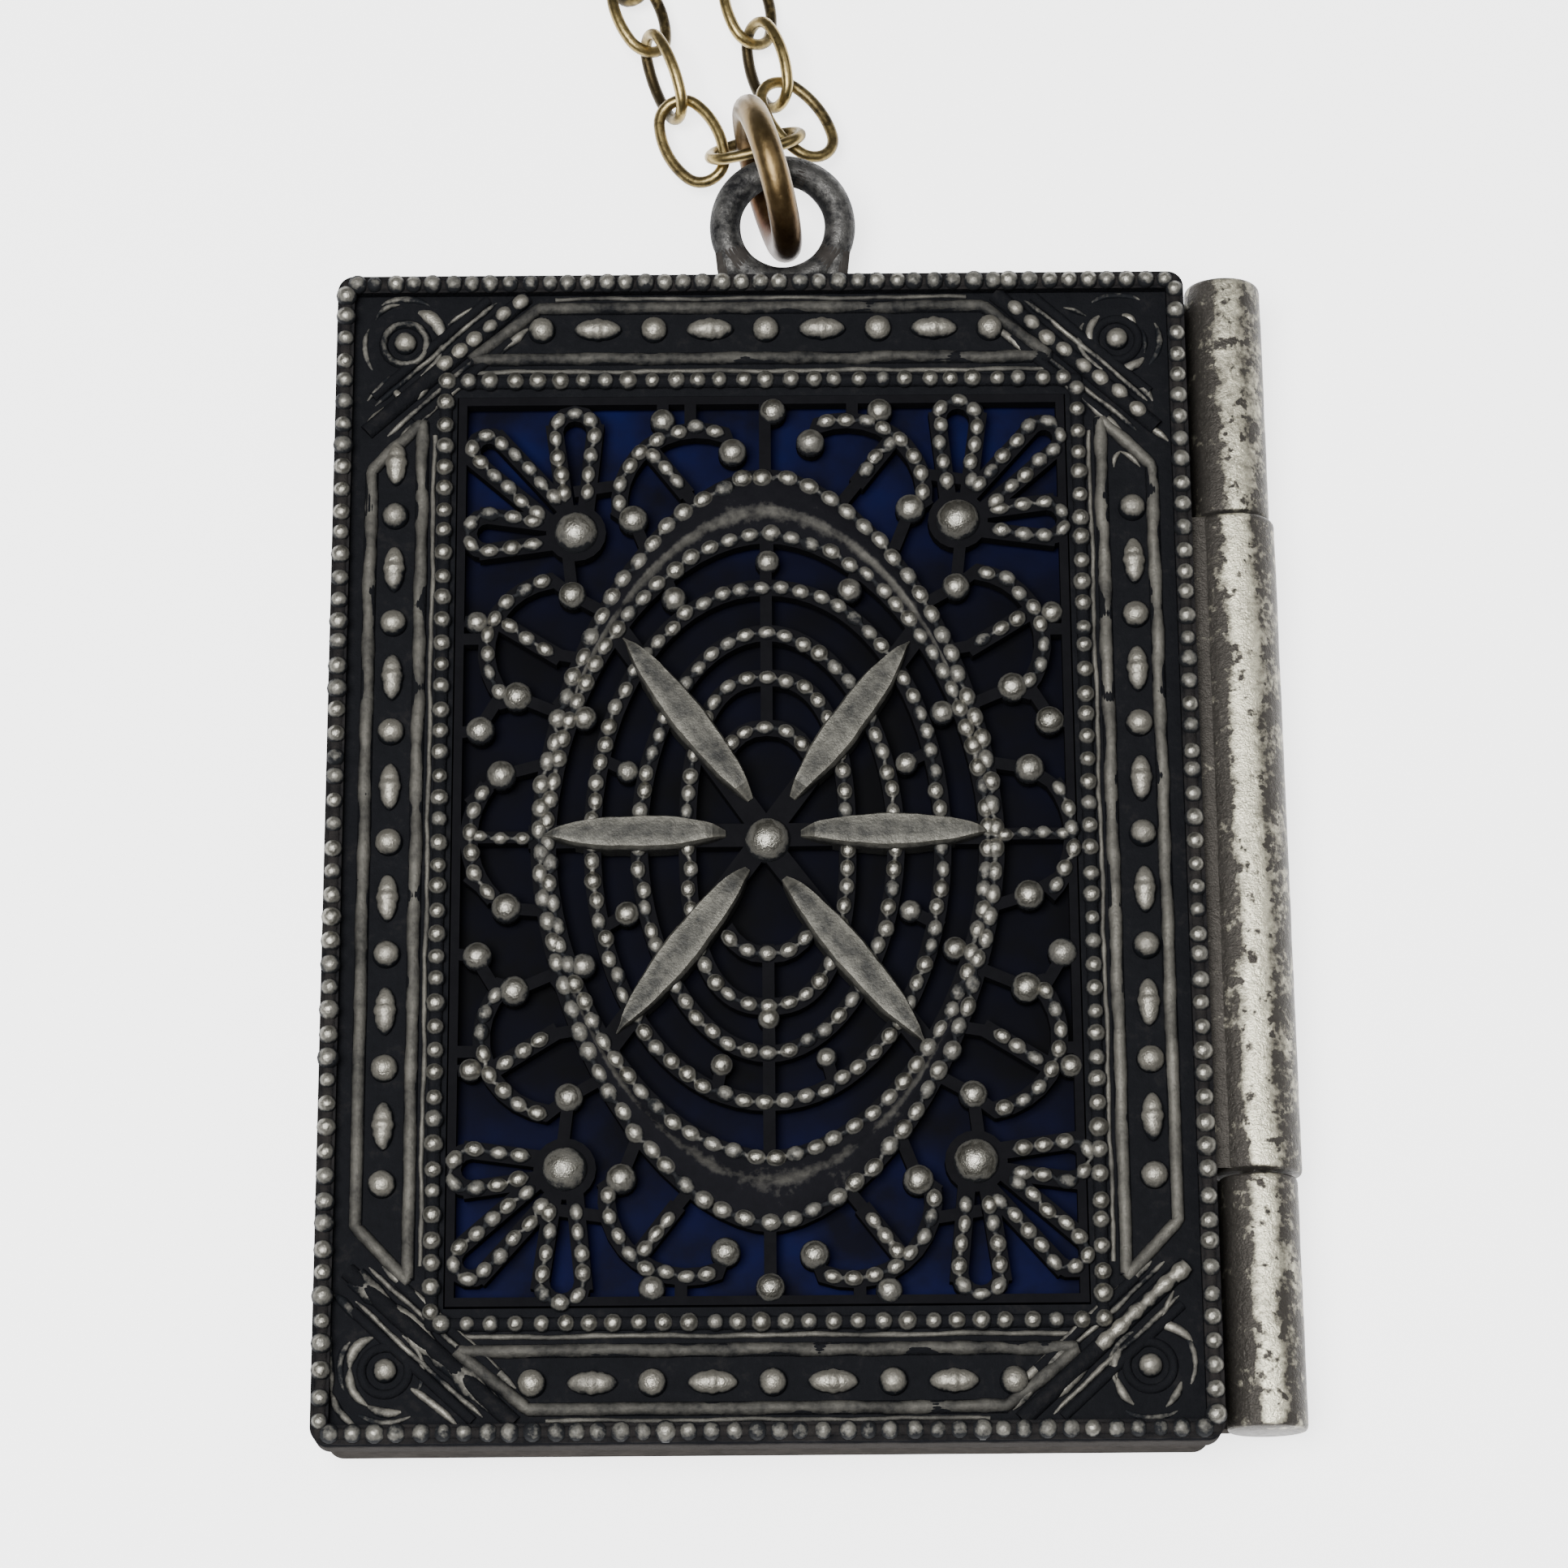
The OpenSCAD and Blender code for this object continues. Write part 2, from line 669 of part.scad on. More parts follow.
// Place at a distance along the half loop
function route_at(s, low = 0, high = 240) =
    high - low <= 1
    ? let (f = (s - route_s[low]) / (route_s[high] - route_s[low]))
      half_route[low] + f * (half_route[high] - half_route[low])
    : let (mid = floor((low + high) / 2))
      s < route_s[mid] ? route_at(s, low, mid) : route_at(s, mid, high);

// Links are placed as x, y, z, heading, slope and roll
module chain() {
    color(brass) {
        for (row = near_links)
            translate([row[0], row[1], row[2]])
                rotate([row[5], -row[4], row[3]])
                    link();
        translate(loop_at)
            rotate([0, 0, loop_dir])
                for (side = [-1, 1], i = [0 : side_links - 1]) {
                    s = i * link_pitch;
                    p = route_at(s);
                    ahead = route_at(min(s + 1, route_l)) - route_at(max(s - 1, 0));
                    translate([p[0], -side * p[1], chain_z])
                        rotate([(i % 2 == 0 ? -1 : 1) * link_roll, 0, atan2(-side * ahead[1], ahead[0])])
                            link();
                }
    }
}

module clasp() {
    color(brass)
        translate(loop_at)
            rotate([0, 0, loop_dir])
                translate([flank_l + bow_l, 0, chain_z]) {
                    rotate_extrude($fn = 64)
                        translate([clasp_r - clasp_wire / 2, 0])
                            circle(d = clasp_wire, $fn = 24);
                    // Thumb piece of the spring
                    translate([clasp_r - thumb_root, -thumb[1] / 2, -thumb[2] / 2])
                        cube(thumb);
                }
}

back_cover();
front_cover();
filigree_panel();
blue_sheet();
hinge_pin();
jump_ring();
chain();
clasp();
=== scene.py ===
import math

import bpy
import numpy as np
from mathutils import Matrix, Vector


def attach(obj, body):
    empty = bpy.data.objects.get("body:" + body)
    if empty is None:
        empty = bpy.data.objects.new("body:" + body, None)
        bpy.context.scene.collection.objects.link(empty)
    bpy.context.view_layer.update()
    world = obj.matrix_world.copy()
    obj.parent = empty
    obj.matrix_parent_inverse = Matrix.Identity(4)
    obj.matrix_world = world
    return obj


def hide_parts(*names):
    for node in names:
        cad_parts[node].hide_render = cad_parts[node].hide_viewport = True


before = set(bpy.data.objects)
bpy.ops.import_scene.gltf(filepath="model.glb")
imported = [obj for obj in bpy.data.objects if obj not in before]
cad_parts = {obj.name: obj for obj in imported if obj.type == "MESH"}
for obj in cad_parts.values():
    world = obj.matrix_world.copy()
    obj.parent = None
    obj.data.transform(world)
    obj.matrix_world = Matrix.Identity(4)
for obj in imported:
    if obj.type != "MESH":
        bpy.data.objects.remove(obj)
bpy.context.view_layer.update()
mm = 0.001
random = np.random.default_rng(seed=7)
print("frame loaded:", sorted(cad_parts))


# Meshes from arrays. Every length below is in millimetres.

noTris = np.zeros((0, 3), int)


# Equal angles round a full turn
def turnAngles(count):
    return np.arange(count) / count * 2 * math.pi


# Quads of a grid of rows by columns. The columns close on themselves, and the rows may too
def gridQuads(rows, cols, closed=False):
    i, j = np.meshgrid(np.arange(rows if closed else rows - 1), np.arange(cols), indexing="ij")
    nextI, nextJ = (i + 1) % rows, (j + 1) % cols
    corners = [i * cols + j, i * cols + nextJ, nextI * cols + nextJ, nextI * cols + j]
    return np.stack(corners, -1).reshape(-1, 4)


# Points of a grid whose rows stand across a path: off it along its side vectors, and at a height
def gridPoints(at, side, off, height):
    flat = at[:, None] + side[:, None] * off[..., None]
    return np.concatenate([flat, height[..., None]], -1).reshape(-1, 3)


# Triangles that close one row of a grid on a single point
def fanTris(ring, centre, flip=False):
    following = np.roll(ring, -1)
    tris = np.stack([ring, following, np.full_like(ring, centre)], -1)
    return tris[:, ::-1] if flip else tris


# Triangles that close both ends of a tube on the two points that come after its rings
def endFans(rings, around):
    rim, points = np.arange(around), rings * around
    return np.vstack([fanTris(rim, points, True), fanTris(rim + points - around, points + 1)])


# Joins parts, each a tuple of points, quads, triangles and wear, into one object that rides a body
def addPiece(name, parts, body, material, smooth=True):
    points, quads, tris, wear = zip(*parts)
    starts = np.cumsum([0] + [len(some) for some in points[:-1]])
    faces = []
    for kind in (quads, tris):
        faces += np.concatenate([some + start for some, start in zip(kind, starts)]).tolist()
    mesh = bpy.data.meshes.new(name)
    mesh.from_pydata((np.concatenate(points) * mm).tolist(), [], faces)
    mesh.polygons.foreach_set("use_smooth", np.full(len(mesh.polygons), smooth))
    worn = mesh.attributes.new("worn", "FLOAT", "POINT")
    worn.data.foreach_set("value", np.concatenate(wear).astype(np.float32))
    mesh.update()
    piece = bpy.data.objects.new(name, mesh)
    bpy.context.scene.collection.objects.link(piece)
    piece.data.materials.append(material)
    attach(piece, body)
    return piece


# Slow waver along a length: three sines with random phases, between -1 and 1 together
sines = dict(wavelengths=np.array([1, 0.43, 0.21]), shares=[0.55, 0.3, 0.15])


def waver(s, wavelength):
    phases = random.uniform(0, 2 * math.pi, 3)
    turn = 2 * math.pi * s[:, None] / (wavelength * sines["wavelengths"]) + phases
    return (np.sin(turn) * sines["shares"]).sum(1)


# Length of each straight step of a polyline
def stepLengths(path):
    return np.linalg.norm(np.diff(path, axis=0), axis=1)


# Length of the whole polyline: the sum of its steps
def pathLength(path):
    return stepLengths(path).sum()


# Points at given distances along a polyline
def readPath(path, distances):
    total = np.concatenate([[0], np.cumsum(stepLengths(path))])
    return np.stack([np.interp(distances, total, path[:, k]) for k in range(2)], -1)


# Points along a polyline, never quite at its ends, with the unit side vector there, a quarter turn
# left of the tangent
def alongPath(path, distances, offEnds=0.001, reach=0.08):
    distances = np.clip(distances, offEnds, pathLength(path) - offEnds)
    tangent = readPath(path, distances + reach) - readPath(path, distances - reach)
    tangent = tangent / np.maximum(np.linalg.norm(tangent, axis=1, keepdims=True), 1e-9)
    return readPath(path, distances), np.stack([-tangent[:, 1], tangent[:, 0]], -1)


# A string of merged beads: a tube whose radius follows half an ellipse over each bead, never under
# the neck. The reach is the ellipse's half length over its half width
stringLook = dict(
    rings=9, around=12, neck=0.3, reach=1.22, sizeSpread=0.07, shift=0.05, sway=0.035,
    shineSpread=0.18, shine=(0.3, 1.3), tip=0.05, tipWear=0.2)


def beadString(path, height, radius, pitch, closed=False, wearGain=1.0, neck=stringLook["neck"]):
    rings, around = stringLook["rings"], stringLook["around"]
    length = pathLength(path)
    count = max(2, int(round(length / pitch)))
    step = length / count
    size = radius * (1 + stringLook["sizeSpread"] * random.normal(size=count))
    slide = stringLook["shift"] * random.normal(size=count) * step
    sway = stringLook["sway"] * random.normal(size=count)
    shine = wearGain * (1 + stringLook["shineSpread"] * random.normal(size=count))
    shine = np.clip(shine, *stringLook["shine"])
    inBead = ((np.arange(rings) + 0.5) / rings - 0.5) * step
    share = np.sqrt(np.maximum(1 - (inBead / (stringLook["reach"] * radius)) ** 2, neck ** 2))
    chord = (size[:, None] * share).ravel()[:, None]
    distances = ((np.arange(count) + 0.5) * step + slide)[:, None] + inBead
    at, side = alongPath(path, distances.ravel())
    at = at + side * np.repeat(sway, rings)[:, None]
    angle = turnAngles(around)
    rise = chord * np.sin(angle)
    points = gridPoints(at, side, chord * np.cos(angle), height + rise)
    wear = (np.clip(rise / radius, 0, 1) * np.repeat(shine, rings)[:, None]).ravel()
    quads = gridQuads(count * rings, around, closed)
    if closed:
        return points, quads, noTris, wear
    outward = np.array([[-side[0, 1], side[0, 0], 0], [side[-1, 1], -side[-1, 0], 0]])
    tips = points.reshape(-1, around, 3)[[0, -1]].mean(1) + outward * stringLook["tip"]
    return (np.vstack([points, tips]), quads, endFans(count * rings, around),
            np.append(wear, [stringLook["tipWear"]] * 2))


# Many domes at once from (x, y, z, radius) rows: each is a ball cut off below its middle. Its wear
# is a power of the height on the ball
domeWear = dict(reach=1.1, power=1.3, spread=0.12, shine=(0.4, 1.3))


def domes(rows, around=20, rise=8, low=-0.35, wearGain=1.0):
    rows = np.asarray(rows, float)
    tilt = np.linspace(math.asin(low), math.pi / 2, rise + 1)[:-1, None]
    turn = turnAngles(around)
    ball = np.stack([np.cos(tilt) * np.cos(turn), np.cos(tilt) * np.sin(turn),
                     np.repeat(np.sin(tilt), around, 1)], -1).reshape(-1, 3)
    ball = np.vstack([ball, [[0, 0, 1], [0, 0, low]]])
    wear = np.clip(ball[:, 2] * domeWear["reach"], 0, 1) ** domeWear["power"]
    quads = gridQuads(rise, around)
    rim, top = np.arange(around), rise * around
    tris = np.vstack([fanTris(rim + top - around, top), fanTris(rim, top + 1, True)])
    starts = (np.arange(len(rows)) * len(ball))[:, None, None]
    shine = wearGain * (1 + domeWear["spread"] * random.normal(size=(len(rows), 1)))
    points = rows[:, None, :3] + ball * rows[:, None, 3:4]
    return (points.reshape(-1, 3), (quads + starts).reshape(-1, 4),
            (tris + starts).reshape(-1, 3), (wear * np.clip(shine, *domeWear["shine"])).ravel())


# A raised line: half an ellipse carried along a path, its course, width and height wavering by a
# share at a wavelength, and its wear in patches. A taper narrows and lowers its ends
ridgeLook = dict(
    step=0.14, course=(0.035, 5.0), width=(0.16, 2.2), height=(0.22, 3.1), patch=(0.3, 4.3),
    patchMiddle=0.85, patchSpan=(0.4, 1.05), tipPower=0.7, tipWidth=0.25, profile=(-0.12, 1.12, 9),
    wearReach=1.15)


def ridge(path, height, width, rise, closed=False, wearGain=1.0, unrest=1.0, taper=0.0):
    length = pathLength(path)
    count = max(6, int(length / ridgeLook["step"]))
    s = np.linspace(0, length, count, endpoint=not closed)
    at, side = alongPath(path, s)
    loud = np.sin(math.pi * np.arange(count) / count) if closed else np.ones(count)
    ends = np.ones(count)
    if taper:
        ends = np.clip(np.minimum(s, length - s) / taper, 0, 1) ** ridgeLook["tipPower"]

    def uneven(what):
        share, wavelength = ridgeLook[what]
        return share * waver(s, wavelength)

    at = at + side * (unrest * loud * uneven("course"))[:, None]
    tipWidth = ridgeLook["tipWidth"]
    wide = width * (1 + unrest * loud * uneven("width")) * (tipWidth + (1 - tipWidth) * ends)
    tall = rise * (1 + unrest * loud * uneven("height")) * ends
    angle = np.linspace(*ridgeLook["profile"]) * math.pi
    points = gridPoints(at, side, 0.5 * wide[:, None] * np.cos(angle),
                        height + tall[:, None] * np.sin(angle))
    patches = np.clip(ridgeLook["patchMiddle"] + uneven("patch"), *ridgeLook["patchSpan"])
    wear = np.clip(ridgeLook["wearReach"] * np.sin(angle), 0, 1) * patches[:, None] * wearGain
    return points, gridQuads(count, len(angle), closed), noTris, wear.ravel()


# Round tube with a radius at every ring, along a path in space given with its frame. Its faces look
# outward where side, path and up, in this order, are a right-handed set. What faces up is worn
def spaceTube(at, side, up, radius, around, closed=False, endWear=0.3):
    angle = turnAngles(around)[:, None]
    spread = side[:, None] * np.cos(angle) + up[:, None] * np.sin(angle)
    radius = np.broadcast_to(radius, (len(at),))[:, None, None]
    points = (at[:, None] + spread * radius).reshape(-1, 3)
    quads = gridQuads(len(at), around, closed)[:, ::-1]
    wear = np.clip(0.5 + 0.5 * spread[..., 2], 0, 1).ravel()
    if closed:
        return points, quads, noTris, wear
    return (np.vstack([points, at[[0, -1]]]), quads, endFans(len(at), around)[:, ::-1],
            np.append(wear, [endWear] * 2))


# The same vector at every ring
def steady(vector, count):
    return np.repeat(np.array([vector], float), count, 0)


# Points along an arc of a circle, at equal angles between two that are given in degrees
def arc(centre, radius, start, end, count=24):
    angle = np.radians(np.linspace(start, end, count))
    return np.asarray(centre) + radius * np.stack([np.cos(angle), np.sin(angle)], -1)


# A path with its X and its Y each multiplied by a sign or a size
def flipped(path, sideX, sideY):
    return np.asarray(path, float) * [sideX, sideY]


# Points turned to the left about the origin
def rotated(path, degrees):
    c, s = math.cos(math.radians(degrees)), math.sin(math.radians(degrees))
    return path @ np.array([[c, s], [-s, c]])


# Length of a straight line, its unit vector, and the one a quarter turn to its left
def lineFrame(start, end):
    chord = np.subtract(end, start)
    length = np.linalg.norm(chord)
    along = chord / length
    return length, along, np.array([-along[1], along[0]])


# Bell curve: the exponential of minus the square of the distance from its middle over its reach
def bell(x, middle, reach):
    return np.exp(-((x - middle) / reach) ** 2)


# Shader groups and materials

# Gives a node's inputs, by name or number, a value or a link from another node's output
def feed(tree, node, inputs):
    for name, value in inputs.items():
        if isinstance(value, bpy.types.NodeSocket):
            tree.links.new(value, node.inputs[name])
        else:
            node.inputs[name].default_value = value


# Adds a node, with its settings before its inputs
def addNode(tree, kind, inputs=None, **settings):
    node = tree.nodes.new("ShaderNode" + kind)
    for name, value in settings.items():
        setattr(node, name, value)
    feed(tree, node, inputs or {})
    return node


# A material with its node tree and its shader
def newMaterial(name):
    material = bpy.data.materials.new(name)
    material.use_nodes = True
    return material, material.node_tree, material.node_tree.nodes["Principled BSDF"]


# Noises as scale and detail, their shares in the mix, and what the mix, pits, dirt and grain do
wearNoise = dict(
    coarse=(900, 4), fine=(4200, 5), grain=(14000, 3), pit=(1700, 3), roughness=0.6,
    coarseShare=0.55, fineShare=0.45, blotchGain=4.0, pitFrom=0.56, pitGain=9.0, shadeFrom=0.55,
    shadeTo=1.3, scatter=0.35, fineBump=0.6, grainBump=0.4)


# Oxide in the hollows, bare metal on what stands up: the height is set against noise in two sizes,
# and where a third noise is high it is lowered by the pits' depth
def makeWearGroup():
    group = bpy.data.node_groups.new("rubbedOxide", "ShaderNodeTree")
    sockets = {"INPUT": ("Height", "Level", "Softness", "Blotch", "Scale", "Pits", "Oxide", "Metal",
                         "Oxide Roughness", "Metal Roughness"),
               "OUTPUT": ("Color", "Mask", "Roughness", "Bump")}
    for direction, names in sockets.items():
        for name in names:
            kind = "Color" if name in ("Oxide", "Metal", "Color") else "Float"
            group.interface.new_socket(name=name, in_out=direction, socket_type="NodeSocket" + kind)
    given = group.nodes.new("NodeGroupInput").outputs
    result = group.nodes.new("NodeGroupOutput")
    coords = addNode(group, "TexCoord").outputs["Object"]
    scaled = addNode(group, "VectorMath", {0: coords, "Scale": given["Scale"]}, operation="SCALE")

    def noise(name):
        scale, detail = wearNoise[name]
        return addNode(group, "TexNoise", {
            "Vector": scaled.outputs[0], "Scale": scale, "Detail": detail,
            "Roughness": wearNoise["roughness"]}).outputs["Fac"]

    def maths(operation, a, b, clamp=False):
        return addNode(group, "Math", {0: a, 1: b}, operation=operation, use_clamp=clamp).outputs[0]

    def mix(factor, a, b, **settings):
        inputs = {"Factor": factor, "A": a, "B": b}
        return addNode(group, "Mix", inputs, **settings).outputs["Result"]

    coarse, fine, grain = noise("coarse"), noise("fine"), noise("grain")
    mixed = maths("ADD", maths("MULTIPLY", coarse, wearNoise["coarseShare"]),
                  maths("MULTIPLY", fine, wearNoise["fineShare"]))
    uneven = maths("MULTIPLY", maths("SUBTRACT", mixed, 0.5), given["Blotch"])
    raised = maths("ADD", given["Height"], maths("MULTIPLY", uneven, wearNoise["blotchGain"]))
    pits = maths("SUBTRACT", noise("pit"), wearNoise["pitFrom"])
    pits = maths("MULTIPLY", pits, wearNoise["pitGain"], clamp=True)
    sunk = maths("SUBTRACT", raised, maths("MULTIPLY", pits, given["Pits"]))
    above = maths("SUBTRACT", sunk, given["Level"])
    mask = maths("ADD", maths("DIVIDE", above, given["Softness"]), 0.5, clamp=True)
    tone = mix(mask, given["Oxide"], given["Metal"], data_type="RGBA")
    shade = addNode(group, "MapRange", {"Value": mixed, "To Min": wearNoise["shadeFrom"],
                                        "To Max": wearNoise["shadeTo"]}).outputs["Result"]
    dirty = mix(1.0, tone, shade, data_type="RGBA", blend_type="MULTIPLY")
    rough = mix(mask, given["Oxide Roughness"], given["Metal Roughness"])
    scatter = maths("MULTIPLY", maths("SUBTRACT", fine, 0.5), wearNoise["scatter"])
    bump = maths("ADD", maths("MULTIPLY", fine, wearNoise["fineBump"]),
                 maths("MULTIPLY", grain, wearNoise["grainBump"]))
    feed(group, result, {"Color": dirty, "Mask": mask, "Bump": bump,
                         "Roughness": maths("ADD", rough, scatter, clamp=True)})
    return group


wearGroup = makeWearGroup()


# One rubbed metal: its height comes from the wear attribute, or for a CAD node from how far its Z
# is from the span's start, up or down, as a share of the span
def rubbedMetal(name, rub, metal, oxide, bump=(0.5, 0.03), specular=0.07, scale=1.0, pits=0.0,
                span=None):
    material, tree, shader = newMaterial(name)
    if span:
        coords = addNode(tree, "TexCoord").outputs["Object"]
        place = addNode(tree, "SeparateXYZ", {0: coords}).outputs["Z"]
        share = addNode(tree, "MapRange", {
            "Value": place, "From Min": span[0] * mm, "From Max": span[1] * mm},
            clamp=False).outputs["Result"]
        height = addNode(tree, "Math", {0: share}, operation="ABSOLUTE").outputs[0]
    else:
        height = addNode(tree, "Attribute", attribute_name="worn").outputs["Fac"]
    *metalColour, metalRoughness, metalMetallic = metal
    *oxideColour, oxideRoughness, oxideMetallic = oxide
    made = addNode(tree, "Group", {
        "Height": height, "Level": rub[0], "Softness": rub[1], "Blotch": rub[2], "Scale": scale,
        "Pits": pits, "Metal": (*metalColour, 1), "Metal Roughness": metalRoughness,
        "Oxide": (*oxideColour, 1), "Oxide Roughness": oxideRoughness}, node_tree=wearGroup).outputs
    metallic = addNode(tree, "MapRange", {"Value": made["Mask"], "To Min": oxideMetallic,
                                          "To Max": metalMetallic}).outputs["Result"]
    relief = addNode(tree, "Bump", {"Height": made["Bump"], "Strength": bump[0],
                                    "Distance": bump[1] * mm}).outputs["Normal"]
    feed(tree, shader, {"Base Color": made["Color"], "Roughness": made["Roughness"],
                        "Metallic": metallic, "Normal": relief, "Specular IOR Level": specular})
    return material


# Every metal: level, softness and blotch of the rubbing, colour, roughness and metallic share of
# the bare metal and of the oxide, strength and depth of the bump, and for a CAD node the span
brass = dict(
    rub=(0.6, 0.7, 0.6), metal=(0.31, 0.235, 0.1, 0.32, 1), oxide=(0.04, 0.03, 0.015, 0.45, 0.85))
metals = {
    "rubbedBeads": dict(
        rub=(0.56, 0.55, 0.55), metal=(0.275, 0.265, 0.232, 0.37, 1),
        oxide=(0.015, 0.016, 0.018, 0.6, 0), bump=(0.9, 0.05)),
    "rubbedBorder": dict(
        rub=(0.58, 0.65, 0.45), metal=(0.3, 0.285, 0.245, 0.42, 0.85),
        oxide=(0.008, 0.009, 0.011, 0.6, 0), bump=(0.9, 0.06)),
    "rubbedRidges": dict(
        rub=(0.58, 1.1, 0.25), metal=(0.24, 0.229, 0.198, 0.42, 0.75),
        oxide=(0.008, 0.0085, 0.01, 0.6, 0), bump=(0.9, 0.06)),
    "darkCover": dict(
        rub=(0.66, 0.8, 0.38), metal=(0.028, 0.025, 0.0232, 0.5, 0.1), span=(3.45, 3.95),
        oxide=(0.0092, 0.0096, 0.0112, 0.6, 0), bump=(0.9, 0.09), specular=0.0),
    "darkPanel": dict(
        rub=(1.0, 0.7, 0.3), metal=(0.55, 0.53, 0.49, 0.3, 1), span=(3.2, 4.5),
        oxide=(0.0072, 0.0072, 0.0084, 0.6, 0), specular=0.0),
    "greyBack": dict(
        rub=(1.0, 1.2, 0.55), metal=(0.05, 0.045, 0.0415, 0.6, 0.05), span=(-20, 0),
        oxide=(0.026, 0.024, 0.0225, 0.5, 0), specular=0.0),
    "softCrescents": dict(
        rub=(0.6, 0.9, 0.35), metal=(0.15, 0.144, 0.126, 0.45, 0.6),
        oxide=(0.009, 0.009, 0.011, 0.6, 0), bump=(0.5, 0.05), specular=0.0),
    # Spine: its bright metal also colours the painted highlight band along the top of the tubes
    "spineRubAndHighlight": dict(
        rub=(0.52, 0.6, 0.5), metal=(0.74, 0.7, 0.54, 0.34, 1), scale=1.2, pits=0.75,
        oxide=(0.058, 0.053, 0.047, 0.42, 0.6), bump=(0.9, 0.08)),
    "rubbedBail": dict(
        rub=(0.95, 0.5, 0.7), metal=(0.095, 0.093, 0.089, 0.42, 0.8),
        oxide=(0.012, 0.012, 0.013, 0.5, 0.2), bump=(0.8, 0.07)),
    "polishedBlades": dict(
        rub=(0.8, 0.8, 0.5), metal=(0.14, 0.135, 0.116, 0.4, 0.45),
        oxide=(0.036, 0.036, 0.034, 0.45, 0.3), bump=(0.8, 0.06)),
    "plainPin": dict(
        rub=(0.3, 1.0, 0.2), metal=(0.5, 0.49, 0.46, 0.3, 1), span=(-20, 20),
        oxide=(0.01, 0.011, 0.013, 0.5, 0)),
    "brownRing": dict(
        rub=(0.55, 0.9, 0.35), metal=(0.17, 0.12, 0.055, 0.34, 1), scale=0.6,
        oxide=(0.05, 0.019, 0.009, 0.38, 0.9)),
    "dullBrass": brass, "claspBrass": dict(brass, span=(0.2, 1.2))}
finish = {name: rubbedMetal(name, **look) for name, look in metals.items()}
print("materials made")


# Deep blue foil behind the piercing, blotched, and darker toward the middle of the window by
# painted
# shade: its brightness grows from the middle shade to 1 with the distance along Y between two
# lengths
foil = dict(
    dark=(0.0007, 0.001, 0.006), blue=(0.0014, 0.0036, 0.038), ramp=(0.36, 0.7), middleShade=0.12,
    near=7.0, far=14.0, cloud=380, detail=6, roughness=0.75, specular=0.08)


def blueFoil():
    material, tree, shader = newMaterial("blueFoil")
    coords = addNode(tree, "TexCoord").outputs["Object"]
    cloud = addNode(tree, "TexNoise", {"Vector": coords, "Scale": foil["cloud"],
                                       "Detail": foil["detail"]})
    tones = addNode(tree, "ValToRGB", {"Fac": cloud.outputs["Fac"]})
    for number, tone in enumerate(("dark", "blue")):
        tones.color_ramp.elements[number].position = foil["ramp"][number]
        tones.color_ramp.elements[number].color = (*foil[tone], 1)
    # Painted shade: the foil is darkened toward the middle of the window
    place = addNode(tree, "SeparateXYZ", {0: coords}).outputs["Y"]
    away = addNode(tree, "Math", {0: place}, operation="ABSOLUTE").outputs[0]
    shadeLift = addNode(tree, "MapRange", {"Value": away, "From Min": foil["near"] * mm,
                                        "From Max": foil["far"] * mm, "To Min": foil["middleShade"]})
    shaded = addNode(tree, "VectorMath", {0: tones.outputs["Color"],
                                          "Scale": shadeLift.outputs["Result"]}, operation="SCALE")
    feed(tree, shader, {"Base Color": shaded.outputs[0], "Roughness": foil["roughness"],
                        "Specular IOR Level": foil["specular"]})
    return material


# The border of the front cover. Each row of beads is its count, middle, whether it runs along Y,
# and the width of its long beads. Each channel is its outer and inner distance from the middle,
# its half lengths there, its wear on the two sides, and its thin lines: half length, distance,
# width, rise and wear
border = dict(
    plateTop=3.35, edgeTop=3.7, rowStep=1.74, ball=(0.06, 0.42), longBead=(0.08, 1.5),
    rows=[
        (9, 0.15, -16.45, False, 0.72), (9, 0.15, 16.45, False, 0.72),
        (14, -11.25, 0.75, True, 0.68), (13, 11.35, 0.0, True, 0.68)],
    channelLine=(0.4, 0.24),
    across=(
        17.2, 15.5, 6.9, 9.0, {-1: 0.33, 1: 0.25},
        [(8.9, 15.08, 0.16, 0.08, 0.5), (6.4, 17.53, 0.14, 0.07, 0.4)]),
    upright=(12.0, 10.45, 11.8, 13.45, {-1: 0.45, 1: 0.6}, [(13.0, 10.09, 0.15, 0.08, 0.6)]))
# A long bead's rib is its height and reach, its groove the depth, place and reach
longBeadLook = dict(
    rings=27, around=16, fullness=0.62, rib=(0.05, 0.1), groove=(0.07, 0.24, 0.09), wearReach=1.1,
    shine=(0.85, 1.15), tip=0.0004, tipWear=0.2)


# Long bead turned on a lathe: its radius is a power of one minus the square of the way to the tip,
# with a rib at the middle between two grooves, all three bell curves
def longBead(x, y, height, length, width, turned):
    look = longBeadLook
    u = np.linspace(-1, 1, look["rings"])
    (rib, ribReach), (groove, grooveAt, grooveReach) = look["rib"], look["groove"]
    outline = 1 + rib * bell(u, 0, ribReach) - groove * bell(abs(u), grooveAt, grooveReach)
    profile = (1 - u ** 2).clip(look["tip"]) ** look["fullness"] * outline
    direction = np.array([0, 1.0, 0]) if turned else np.array([1.0, 0, 0])
    at = np.array([x, y, height]) + 0.5 * length * u[:, None] * direction
    side, up = steady([-direction[1], direction[0], 0], len(u)), steady([0, 0, 1], len(u))
    points, quads, tris, _ = spaceTube(at, side, up, 0.5 * width * profile, look["around"])
    rise = np.sin(turnAngles(look["around"]))[None] * profile[:, None]
    wear = np.clip(rise * look["wearReach"], 0, 1) * random.uniform(*look["shine"])
    return points, quads[:, ::-1], tris[:, ::-1], np.append(wear.ravel(), [look["tipWear"]] * 2)


